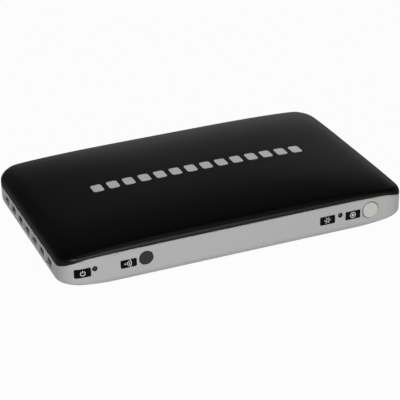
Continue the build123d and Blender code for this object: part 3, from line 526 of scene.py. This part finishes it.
def arc_fall(x: float, half: float, run: float, drop: float) -> float:
    """Returns how far a line has fallen at a place along X, in one arc over a run at each of its ends."""
    radius = (run**2 + drop**2) / (2 * drop)
    past = min(max(abs(x) - (half - run), 0.0), run)
    return radius - math.sqrt(radius**2 - past**2)


@dataclass(frozen=True)
class CasePlan:
    """The case's outline in plan and the line where its two halves meet."""

    half_length: float = 75.0  # along X
    half_depth: float = 46.0  # along Y
    corner: float = 8.5  # the corner radius
    joint_front: float = 14.39  # the joint's height along the front and rear
    joint_sag: float = 0.85  # how far it sags towards the ends, apart from its drop
    sag_start: float = 40.0  # where it starts to sag, from the middle
    joint_drop: float = 3.2  # the drop in an arc close to the ends
    joint_run: float = 11.0  # how far from the ends it starts to drop
    joint_gap: float = 0.2  # the gap between the halves

    def joint_height(self, x: float) -> float:
        """Returns the height of the joint at a place along X."""
        past = max(abs(x) - self.sag_start, 0.0) / (self.half_length - self.sag_start)
        drop = arc_fall(x, self.half_length, self.joint_run, self.joint_drop)
        return self.joint_front - self.joint_sag * past**2 - drop

    def cover_foot(self, x: float) -> float:
        """Returns the height of the cover's lower edge at a place along X."""
        return self.joint_height(x) + self.joint_gap

    def inset(self, x: float, y: float) -> float:
        """Returns how far inside the outline a place in plan lies."""
        past_x = max(abs(x) - (self.half_length - self.corner), 0.0)
        past_y = max(abs(y) - (self.half_depth - self.corner), 0.0)
        return self.corner - math.hypot(past_x, past_y)

    def front_wall(self, x: float) -> tuple[Vector, Vector]:
        """Returns the front wall's place in plan at a place along X, and its outward normal."""
        past = abs(x) - (self.half_length - self.corner)
        if past <= 0:
            return Vector((x, -self.half_depth)), Vector((0.0, -1.0))
        turn = math.asin(min(past / self.corner, 1.0))
        outward = Vector((math.copysign(math.sin(turn), x), -math.cos(turn)))
        return Vector((x, self.corner * (1 - math.cos(turn)) - self.half_depth)), outward


PLAN = CasePlan()


@dataclass
class Cover:
    """The black crowned cover: a fine skin over the cover's solid."""

    top: float = 19.67  # the crown's highest point
    end_fall: float = 3.4  # how far the crown falls to the ends, apart from its shoulder
    end_power: float = 2.8  # how late it falls
    end_shoulder: float = 2.4  # the extra fall close to the ends
    front_fall: float = 2.2  # the same fall to the front and rear
    front_power: float = 3.0  # how late that is
    front_shoulder: float = 0.3  # the extra fall close to the front and rear
    shoulder_power: float = 30.0  # how close the extra fall keeps to the edges
    mix: float = 1.5  # how the two falls add up at the corners
    rim: float = 4.2  # the largest radius of the edge between crown and wall
    rim_share: float = 1.3  # that radius as a share of the edge's height over the joint, where this is less
    rim_blend: float = 4.0  # how sharply the radius changes from one rule to the other
    ball_tries: int = 80  # how many places of the rolling ball are tried
    least_wall: float = 0.03  # the least straight wall under the rounded edge
    rim_lines: int = 14  # mesh lines across that edge
    field_lines: int = 8  # mesh lines from the edge to the corner's centre
    columns: int = 64  # mesh columns between the corners
    rows: int = 36  # mesh rows between the corners
    wall: float = 0.95  # the skin's thickness

    def crown(self, x: float, y: float) -> float:
        """Returns the crown's height at a place in plan, without its rounded edge."""
        along = min(abs(x) / PLAN.half_length, 1.0)
        across = min(abs(y) / PLAN.half_depth, 1.0)
        end = self.end_fall * along**self.end_power + self.end_shoulder * along**self.shoulder_power
        front = self.front_fall * across**self.front_power
        front += self.front_shoulder * across**self.shoulder_power
        return self.top - (end**self.mix + front**self.mix) ** (1 / self.mix)

    def edge_steps(self) -> list[float]:
        """Returns the distances from the edge of the crowded mesh lines, the inmost first."""
        quarter = math.pi / 2
        rim = [self.rim * (1 - math.cos(quarter * k / self.rim_lines)) for k in range(self.rim_lines + 1)]
        width = PLAN.corner - self.rim
        field = [self.rim + width * (k + 1) / self.field_lines for k in range(self.field_lines)]
        return list(reversed(rim + field))

    def line_place(self, index: int, flat: int, half: float, crowded: int) -> tuple[float, int]:
        """Returns a mesh line's place along one axis, and its number outside the corner's centre.

        Lines are crowded at both sides of the flat cells, and a crowded line gets that centre's place.
        """
        inner = half - PLAN.corner
        if index < crowded:
            return -inner, crowded - index
        if index > crowded + flat:
            return inner, index - crowded - flat
        return -inner + 2 * inner * (index - crowded) / flat, 0

    def plan_point(self, column: int, row: int, steps: list[float]) -> tuple[Vector, Vector, float]:
        """Returns a mesh point in plan, the direction outwards there, and its distance from the edge."""
        x, out_x = self.line_place(column, self.columns, PLAN.half_length, len(steps) - 1)
        y, out_y = self.line_place(row, self.rows, PLAN.half_depth, len(steps) - 1)
        ring = max(out_x, out_y)
        if ring == 0:
            return Vector((x, y)), Vector((0.0, 0.0)), PLAN.corner
        if out_x >= out_y:
            turn = math.pi / 4 * out_y / out_x
        else:
            turn = math.pi / 2 - math.pi / 4 * out_x / out_y
        outward = Vector((math.copysign(math.cos(turn), x), math.copysign(math.sin(turn), y)))
        if out_x == 0:
            outward = Vector((0.0, math.copysign(1.0, y)))
        if out_y == 0:
            outward = Vector((math.copysign(1.0, x), 0.0))
        return Vector((x, y)) + outward * (PLAN.corner - steps[ring]), outward, steps[ring]

    def skin_height(self, point: Vector, outward: Vector, distance: float) -> float:
        """Returns the cover's height at a point in plan, with its edge rounded by a rolling ball."""
        edge = point + outward * distance
        foot = PLAN.cover_foot(edge.x)
        room = self.rim_share * (self.crown(edge.x, edge.y) - foot)
        radius = (room**-self.rim_blend + self.rim**-self.rim_blend) ** (-1 / self.rim_blend)
        if distance > 2 * radius or outward.length == 0:
            return self.crown(point.x, point.y)
        best = (math.inf, 0.0)
        for k in range(self.ball_tries + 1):
            inward = 2 * radius * k / self.ball_tries
            seat = edge - outward * inward
            below = math.sqrt(max(radius**2 - (inward - radius) ** 2, 0.0))
            best = min(best, (self.crown(seat.x, seat.y) - below, inward))
        centre, contact = best
        if distance >= contact:
            return self.crown(point.x, point.y)
        centre = max(centre, foot + self.least_wall)
        return centre + math.sqrt(radius**2 - (radius - distance) ** 2)

    def drop_walls(self, piece: Object) -> None:
        """Extrudes the grid's border down to the joint."""
        edit(piece, "EDGE", "DESELECT")
        others = dict.fromkeys(("use_wire", "use_multi_face", "use_non_contiguous", "use_verts"), False)
        bpy.ops.mesh.select_non_manifold(extend=False, use_boundary=True, **others)
        step = 0.5 * MM
        for share in (0.5, 1.0):
            bpy.ops.mesh.extrude_region_move(TRANSFORM_OT_translate={"value": (0.0, 0.0, -step)})
            leave()
            for vertex in piece.data.vertices:
                if vertex.select:
                    start = vertex.co.z + step
                    vertex.co.z = start + (PLAN.cover_foot(vertex.co.x / MM) * MM - start) * share
            bpy.ops.object.mode_set(mode="EDIT")
        leave()

    def finish(self) -> None:
        """Shapes a flat grid into the cover, dresses it and puts it in the solid's place."""
        steps = self.edge_steps()
        columns = self.columns + 2 * (len(steps) - 1)
        rows = self.rows + 2 * (len(steps) - 1)
        bpy.ops.mesh.primitive_grid_add(x_subdivisions=columns, y_subdivisions=rows, size=2.0)
        piece = name_piece(bpy.context.object, "crowned_cover")
        for vertex in piece.data.vertices:
            column = round((vertex.co.x + 1) / 2 * columns)
            row = round((vertex.co.y + 1) / 2 * rows)
            point, outward, distance = self.plan_point(column, row, steps)
            vertex.co = Vector((point.x, point.y, self.skin_height(point, outward, distance))) * MM
        self.drop_walls(piece)
        work(piece, bpy.ops.mesh.normals_make_consistent, inside=False)
        thicken(piece, self.wall)
        smooth(piece, 40.0)
        dress(piece, SLOT_FINISHES["cover_black"], "case")
        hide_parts("top_cover")


# Printed labels


@dataclass(frozen=True)
class Label:
    """A printed label on the front wall, with its edges along X and its lower and upper edge."""

    name: str
    left: float
    right: float
    bottom: float
    top: float

    @property
    def centre(self) -> Pair:
        """The label's centre, as x and height."""
        return (self.left + self.right) / 2, (self.bottom + self.top) / 2


@dataclass
class FrontLabels:
    """The four black labels and their white pictograms."""

    labels: tuple[Label, ...] = (
        Label("power_label", -70.0, -63.3, 6.65, 10.5),
        Label("signal_label", -51.2, -44.5, 6.85, 10.4),
        Label("lamp_label", 35.0, 41.8, 6.6, 10.35),
        Label("record_label", 46.6, 53.4, 6.55, 10.3),
    )
    corner: float = 0.45  # the labels' corner radius
    cuts: int = 14  # the parts that a label's length is cut into, to bend it round the case's corner
    proud: float = 0.05  # how far the black ink stands off the wall
    ink: float = 0.03  # how far the white ink stands off the black
    sunk: float = 0.03  # how far the black ink goes into the wall
    ink_sunk: float = 0.01  # how far the white ink goes into the black
    stroke: float = 0.34  # the pictograms' stroke width

    def on_wall(self, piece: Object, lift: float) -> None:
        """Folds a mesh that was drawn flat, as x and height, to lie at a lift off the front wall."""
        for vertex in piece.data.vertices:
            place, outward = PLAN.front_wall(vertex.co.x / MM)
            place = (place + outward * lift) * MM
            vertex.co = (place.x, place.y, vertex.co.y)
        piece.data.update()

    def plate(self, label: Label) -> Object:
        """Builds a label's black plate."""
        width = label.right - label.left
        piece = rounded_plate((width, label.top - label.bottom), self.corner, 5, label.centre)
        name_piece(piece, label.name)
        slice_at(piece, (label.left + width * k / self.cuts for k in range(1, self.cuts)))
        self.on_wall(piece, self.proud)
        thicken(piece, self.proud + self.sunk)
        return piece

    def put(self, piece: Object, x: float, height: float, turn: float) -> Object:
        """Turns a flat stroke by an angle in degrees and moves it to its place."""
        place = Matrix.Translation((x * MM, height * MM, 0.0))
        piece.data.transform(place @ Matrix.Rotation(math.radians(turn), 4, "Z"))
        return piece

    def bar(self, x: float, height: float, length: float, turn: float) -> Object:
        """Draws a short bar with rounded ends round its middle, turned from X by an angle in degrees."""
        return self.put(rounded_plate((length, self.stroke), self.stroke * 0.45, 3), x, height, turn)

    def arc(self, x: float, height: float, radius: float, start: float = 0.0, sweep: float = 360.0) -> Object:
        """Spins a stroke round a centre, from an angle to X and over a sweep, both in degrees."""
        bpy.ops.mesh.primitive_plane_add(size=self.stroke * MM, location=(radius * MM, 0.0, 0.0))
        piece = bpy.context.object
        settle(piece)
        edit(piece, "VERT", "DESELECT")
        leave()
        for vertex in piece.data.vertices:
            vertex.select = vertex.co.y > 0
        bpy.ops.object.mode_set(mode="EDIT")
        bpy.ops.mesh.delete(type="VERT")
        leave()
        for vertex in piece.data.vertices:
            vertex.co.y = 0.0
        turn = -math.radians(sweep)
        work(piece, bpy.ops.mesh.spin, "EDGE", steps=32, angle=turn, center=(0, 0, 0), axis=(0, 0, 1))
        merge(piece)
        self.face_up(piece)
        return self.put(piece, x, height, start)

    def dot(self, x: float, height: float, radius: float) -> Object:
        """Draws a filled dot."""
        place = (x * MM, height * MM, 0.0)
        bpy.ops.mesh.primitive_circle_add(vertices=32, radius=radius * MM, fill_type="TRIFAN", location=place)
        piece = bpy.context.object
        settle(piece)
        self.face_up(piece)
        return piece

    def face_up(self, piece: Object) -> None:
        """Turns a flat mesh's faces to +Z."""
        work(piece, bpy.ops.mesh.normals_make_consistent, inside=False)
        if piece.data.polygons[0].normal.z < 0:
            work(piece, bpy.ops.mesh.flip_normals)

    def power_sign(self, x: float, height: float) -> list[Object]:
        """An open ring with a bar in its gap."""
        return [self.arc(x, height - 0.1, 0.95, 122.0, 296.0), self.bar(x, height + 0.62, 1.15, 90.0)]

    def signal_sign(self, x: float, height: float) -> list[Object]:
        """Three waves that leave a dot."""
        source = x - 1.5
        waves = [self.arc(source, height, radius, -40.0, 80.0) for radius in (0.95, 1.75, 2.55)]
        return waves + [self.dot(source, height, 0.34)]

    def lamp_sign(self, x: float, height: float) -> list[Object]:
        """A ring with six rays."""
        reach = 1.3
        rays = []
        for turn in range(0, 360, 60):
            ray = math.radians(turn)
            rays.append(self.bar(x + reach * math.cos(ray), height + reach * math.sin(ray), 0.5, turn))
        return rays + [self.arc(x, height, 0.68)]

    def record_sign(self, x: float, height: float) -> list[Object]:
        """A dot in a ring."""
        return [self.dot(x, height, 0.62), self.arc(x, height, 1.18)]

    def finish(self) -> None:
        """Builds and dresses the four labels, each with its pictogram."""
        signs = (self.power_sign, self.signal_sign, self.lamp_sign, self.record_sign)
        for label, sign in zip(self.labels, signs):
            plate = self.plate(label)
            dress(plate, LABEL_BLACK, "case")
            mark = join(sign(*label.centre), label.name + "_mark")
            settle(mark)
            self.on_wall(mark, self.proud + self.ink)
            thicken(mark, self.ink + self.ink_sunk)
            dress(mark, LABEL_WHITE, "case")


@dataclass
class ShadeSleeves:
    """Black sleeves round the two light pipes, inside their holes: painted shade where the gaps round the
    pipes are in shadow.
    """

    places: tuple[tuple[str, float], ...] = (  # each sleeve's name with its place along X
        ("power_light_shade_sleeve", -61.7),
        ("rec_light_shade_sleeve", 44.2),
    )
    height: float = 9.5  # the height of both
    front: float = 0.06  # how far a sleeve's front stands behind the wall's face
    length: float = 0.22  # a sleeve's length
    bore: float = 0.5  # its inner radius
    outside: float = 1.11  # its outer radius
    edge: float = 0.05  # the radius of its edges

    def finish(self) -> None:
        """Spins each sleeve's profile round its light's axis, and dresses it in the black of painted shade.
        """
        for name, x in self.places:
            piece = name_piece(rounded_plate((self.outside - self.bore, self.length), self.edge, 2), name)
            middle = Vector(((self.bore + self.outside) / 2, self.front + self.length / 2, 0.0)) * MM
            piece.data.transform(Matrix.Translation(middle))
            edit(piece)
            bpy.ops.mesh.delete(type="ONLY_FACE")
            bpy.ops.mesh.select_all(action="SELECT")
            bpy.ops.mesh.spin(steps=40, angle=math.tau, center=(0, 0, 0), axis=(0, 1, 0))
            leave()
            merge(piece)
            work(piece, bpy.ops.mesh.normals_make_consistent, inside=False)
            piece.data.transform(Matrix.Translation(Vector((x, -PLAN.half_depth, self.height)) * MM))
            smooth(piece)
            dress(piece, SHADE_SLEEVE_BLACK, "case")


@dataclass
class CoverMarks:
    """The row of silver marks on the cover, like the perforations of a film."""

    left: float = -46.0  # the first mark's left edge along X
    right: float = 49.0  # the last mark's right edge
    front: float = -1.3  # the marks' near edge along Y
    rear: float = 4.9  # their far edge
    count: int = 14
    share: float = 0.66  # how much of the pitch a mark takes
    corner: float = 1.1  # a mark's corner radius
    proud: float = 0.03  # how far the ink stands off the crown
    sunk: float = 0.02  # how far it goes into the crown

    def mark(self, middle: float, width: float, cover: Cover) -> Object:
        """Builds one mark on the crown, from its middle and width along X."""
        place = (middle, (self.front + self.rear) / 2)
        piece = rounded_plate((width, self.rear - self.front), self.corner, 6, place)
        slice_at(piece, (middle + width * share for share in (-0.25, 0.0, 0.25)))
        for vertex in piece.data.vertices:
            vertex.co.z = (cover.crown(vertex.co.x / MM, vertex.co.y / MM) + self.proud) * MM
        return piece

    def finish(self, cover: Cover) -> None:
        """Builds the row as one piece and dresses it."""
        pitch = (self.right - self.left) / (self.count - 1 + self.share)
        width = pitch * self.share
        marks = [self.mark(self.left + width / 2 + pitch * k, width, cover) for k in range(self.count)]
        row = join(marks, "perforation_row")
        thicken(row, self.proud + self.sunk)
        dress(row, MARK_SILVER, "case")


# Carried-over nodes


@dataclass
class Tray:
    """The silver lower half: the solid's form, with a finer joint line and thin walls round its vents."""

    skin: float = 0.9  # the wall's thickness at the vents
    wall: float = 2.0  # its thickness elsewhere
    inner: float = 2.3  # how far the thinning reaches from the outside
    solid_joint: Triple = (14.55, 4.1, 14.2)  # the solid's joint: height, drop and run at the ends
    rim: float = 0.35  # how far below the joint the rim reaches
    rim_cuts: tuple[float, ...] = (42.0, 46.0, 49.0, 52.0, 55.0, 58.0, 60.0)  # mesh lines at each side
    vents: int = 7  # at each end
    vent_pitch: float = 9.9  # the distance between them
    vent: Triple = (7.2, 5.65, 8.8)  # a vent's length along Y, its lower edge and its upper edge
    vent_shift: float = 1.5  # how far the row lies behind the middle
    thinned: Triple = (35.6, 5.2, 9.4)  # half the thin wall's length, its lower and its upper edge
    floor: float = 3.2  # the height of the floor inside
    key: Pair = (58.0, 9.05)  # the button's place along X and its height
    key_hole: float = 3.76  # the radius of its hole

    def bend_rim(self, piece: Object) -> None:
        """Moves the rim from the solid's joint line to the finer one."""
        slice_at(piece, self.rim_cuts + tuple(-x for x in self.rim_cuts))
        height, drop, run = self.solid_joint
        for vertex in piece.data.vertices:
            x = vertex.co.x / MM
            solid = height - arc_fall(x, PLAN.half_length, run, drop)
            if vertex.co.z / MM > solid - self.rim:
                vertex.co.z += (PLAN.joint_height(x) - solid) * MM
        piece.data.update()

    def cut_block(self, piece: Object, x: Pair, y: Pair, z: Pair) -> None:
        """Cuts a block, given by its two faces along each axis, out of the tray."""
        bpy.ops.mesh.primitive_cube_add(size=1.0)
        cutter = bpy.context.object
        cutter.scale = [abs(end - start) * MM for start, end in (x, y, z)]
        cutter.location = [(start + end) / 2 * MM for start, end in (x, y, z)]
        settle(cutter)
        cut(piece, cutter)

    def thin_vents(self, piece: Object) -> None:
        """Thins both end walls behind the vents, and cuts the vents to their full size."""
        length, low, high = self.vent
        half, thin_low, thin_high = self.thinned
        outside = PLAN.half_length + 1.0
        behind = PLAN.half_length - self.skin
        for side in (-1, 1):
            pocket = (side * behind, side * (PLAN.half_length - self.inner))
            self.cut_block(piece, pocket, (-half, half), (thin_low, thin_high))
            for k in range(self.vents):
                middle = (k - (self.vents - 1) / 2) * self.vent_pitch + self.vent_shift
                across = (middle - length / 2, middle + length / 2)
                self.cut_block(piece, (side * outside, side * (behind - 1.0)), across, (low, high))

    def widen_key_hole(self, piece: Object) -> None:
        """Widens the button's hole to its real gap."""
        place = (self.key[0] * MM, -PLAN.half_depth * MM, self.key[1] * MM)
        size = {"vertices": 96, "radius": self.key_hole * MM, "depth": 2 * self.inner * MM}
        bpy.ops.mesh.primitive_cylinder_add(location=place, rotation=(math.pi / 2, 0, 0), **size)
        cutter = bpy.context.object
        settle(cutter)
        cut(piece, cutter)

    def leave_inside_raw(self, piece: Object) -> None:
        """Leaves the faces inside the tray unpainted."""
        piece.data.materials.append(RAW_PLASTIC.material())
        for face in piece.data.polygons:
            place = face.center / MM
            wall = self.skin if abs(place.y) < self.thinned[0] + 0.01 else self.wall
            if PLAN.inset(place.x, place.y) > wall - 0.01 and place.z > self.floor - 0.05:
                face.material_index = 1

    def finish(self) -> None:
        """Builds the tray, dresses it and puts it in the solid's place."""
        piece = merged_copy("lower_case")
        self.bend_rim(piece)
        self.thin_vents(piece)
        self.widen_key_hole(piece)
        smooth(piece)
        dress(piece, SLOT_FINISHES["case_silver"])
        self.leave_inside_raw(piece)


CONTROLS = ("rec_button", "ir_window", "power_light_pipe", "rec_light_pipe")
FEET = ("foot_front_left", "foot_front_right", "foot_rear_left", "foot_rear_right")
JACKS = ("mic_jack_bush", "mic_jack_housing", "dc_jack_housing", "dc_jack_pin")
SMOOTH_NODES = CONTROLS + FEET + ("hdmi_in_shell", "hdmi_out_shell") + JACKS


def finish_nodes() -> None:
    """Dresses every CAD node, and gives the visible round ones a smoothly shaded skin."""
    slots = {row["node"]: row["material_slot"] for row in frame["record"]["subparts"]}
    for node, slot in slots.items():
        dress(frame["nodes"][node], SLOT_FINISHES[slot])
    for node in SMOOTH_NODES:
        piece = merged_copy(node)
        smooth(piece)
        dress(piece, SLOT_FINISHES[slots[node]])


# The studio, in metres


@dataclass(frozen=True)
class Softbox:
    """A rectangular soft lamp that faces the object: its place, width and height, watts and colour."""

    name: str
    place: Triple
    size: Pair
    power: float
    tint: Triple = (1.0, 1.0, 1.0)

    def hang(self) -> None:
        """Hangs the lamp."""
        bpy.ops.object.light_add(type="AREA", location=self.place)
        lamp = bpy.context.object
        lamp.name = self.name
        lamp.data.shape = "RECTANGLE"
        lamp.data.size, lamp.data.size_y = self.size
        lamp.data.energy = self.power
        lamp.data.color = self.tint
        lamp.rotation_mode = "QUATERNION"
        lamp.rotation_quaternion = (-Vector(self.place)).to_track_quat("-Z", "Y")


@dataclass
class Studio:
    """The floor, the lamps, the world and the camera."""

    target: Triple = (0.0, 0.0, 0.0012)  # the point that the camera is aimed at
    azimuth: float = 21.8143  # from the front to the left, in degrees
    elevation: float = 26.9606  # above the horizon, in degrees
    roll: float = -1.4928  # in degrees
    distance: float = 0.637177  # from the target
    picture: int = 400  # the picture's width and height, in pixels
    focal: float = 1493.777  # the focal length, in pixels
    offset: Pair = (-2.28, 7.927)  # the target's place from the picture's middle, in pixels right and down
    lamps: tuple[Softbox, ...] = (
        Softbox("overhead_box", (0.1, -0.5, 1.15), (0.9, 0.8), 1.4),
        Softbox("front_panel", (-0.02, -0.85, 0.22), (0.7, 0.44), 3.6, (1.0, 0.97, 0.95)),
        Softbox("left_fill", (-0.36, -0.74, 0.36), (0.5, 0.45), 1.1),
        Softbox("key_box", (-0.55, -0.52, 0.38), (0.12, 0.1), 1.8),
    )
    sky: tuple[Pair, ...] = (  # the world's level at heights of a ray's direction, from the horizon up
        (0.02, 3.0), (0.1, 5.6), (0.2, 4.0), (0.3, 1.3), (0.42, 0.35),
        (0.6, 0.05), (0.75, 0.01), (0.9, 0.03), (1.0, 0.06),
    )

    def lay_floor(self) -> None:
        """Lays a pale floor that keeps the object's shadow and can't be seen from below."""
        bpy.ops.mesh.primitive_plane_add(size=8.0)
        floor = name_piece(bpy.context.object, "floor")
        material = bpy.data.materials.new("pale_floor")
        material.use_nodes = True
        material.node_tree.nodes.clear()
        wires = Wiring(material.node_tree)
        mottle = wires.noise(wires.object_place(), 40.0, 3.0)
        paper = wires.add("BsdfDiffuse", {"Color": wires.blend(mottle, grey(0.22), grey(0.24))})
        glow = wires.add("Emission", {"Strength": 1.0})
        rays = wires.add("LightPath").outputs
        seen = wires.maths("MAXIMUM", rays["Is Camera Ray"], rays["Is Glossy Ray"])
        seen = wires.maths("MAXIMUM", seen, rays["Is Transmission Ray"])
        share = wires.maths("MULTIPLY", seen, 0.97)
        mixed = wires.add("MixShader", {0: share, 1: paper.outputs[0], 2: glow.outputs[0]})
        below = wires.add("NewGeometry").outputs["Backfacing"]
        clear = wires.add("BsdfTransparent")
        sides = wires.add("MixShader", {0: below, 1: mixed.outputs[0], 2: clear.outputs[0]})
        wires.add("OutputMaterial", {"Surface": sides.outputs[0]})
        floor.data.materials.append(material)

    def light_world(self) -> None:
        """Fills the room with grey light, white at the horizon behind the object and dim at its sides."""
        world = bpy.data.worlds.new("studio_room")
        bpy.context.scene.world = world
        world.use_nodes = True
        wires = Wiring(world.node_tree)
        direction = wires.parts_of(wires.add("TexCoord").outputs["Generated"])
        ramp = wires.add("ValToRGB", {0: direction["Z"]})
        stops = ramp.color_ramp.elements
        for stop, (place, level) in zip(stops, (self.sky[0], self.sky[-1])):
            stop.position = place
            stop.color = grey(level)
        for place, level in self.sky[1:-1]:
            stops.new(place).color = grey(level)
        left = wires.spread(direction["X"], 0.06, 1.0, -0.45, 0.3)
        right = wires.spread(direction["X"], 1.0, 0.15, 0.45, 0.85)
        front = wires.spread(direction["Y"], 0.2, 1.0, -0.2, 0.3)
        sides = wires.maths("MULTIPLY", wires.maths("MULTIPLY", left, right), front)
        light = wires.maths("MULTIPLY", sides, ramp.outputs[0])
        wires.fill(world.node_tree.nodes["Background"], {"Color": light, "Strength": 1.0})

    def set_camera(self) -> None:
        """Puts the camera where the photograph was taken from."""
        turn, rise, roll = (math.radians(angle) for angle in (self.azimuth, self.elevation, self.roll))
        back = Vector((-math.sin(turn) * math.cos(rise), -math.cos(turn) * math.cos(rise), math.sin(rise)))
        right = Vector((math.cos(turn), -math.sin(turn), 0.0))
        up = back.cross(right)
        right, up = right * math.cos(roll) + up * math.sin(roll), up * math.cos(roll) - right * math.sin(roll)
        bpy.ops.object.camera_add()
        camera = bpy.context.object
        camera.name = "studio_camera"
        place = Matrix((right, up, back)).transposed().to_4x4()
        place.translation = Vector(self.target) + back * self.distance
        camera.matrix_world = place
        camera.data.sensor_width = 36.0
        camera.data.lens = self.focal / self.picture * camera.data.sensor_width
        camera.data.shift_x = -self.offset[0] / self.picture
        camera.data.shift_y = self.offset[1] / self.picture
        camera.data.clip_start = 0.01
        camera.data.clip_end = 50.0
        bpy.context.scene.camera = camera

    def build(self) -> None:
        """Sets the studio up."""
        self.set_camera()
        self.lay_floor()
        self.light_world()
        for lamp in self.lamps:
            lamp.hang()
        bpy.context.scene.view_settings.view_transform = "Standard"


def main() -> None:
    """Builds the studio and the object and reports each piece."""
    logging.basicConfig(level=logging.INFO, format="%(message)s")
    Studio().build()
    cover = Cover()
    finish_nodes()
    Tray().finish()
    cover.finish()
    FrontLabels().finish()
    ShadeSleeves().finish()
    CoverMarks().finish(cover)


if __name__ == "__main__":
    main()
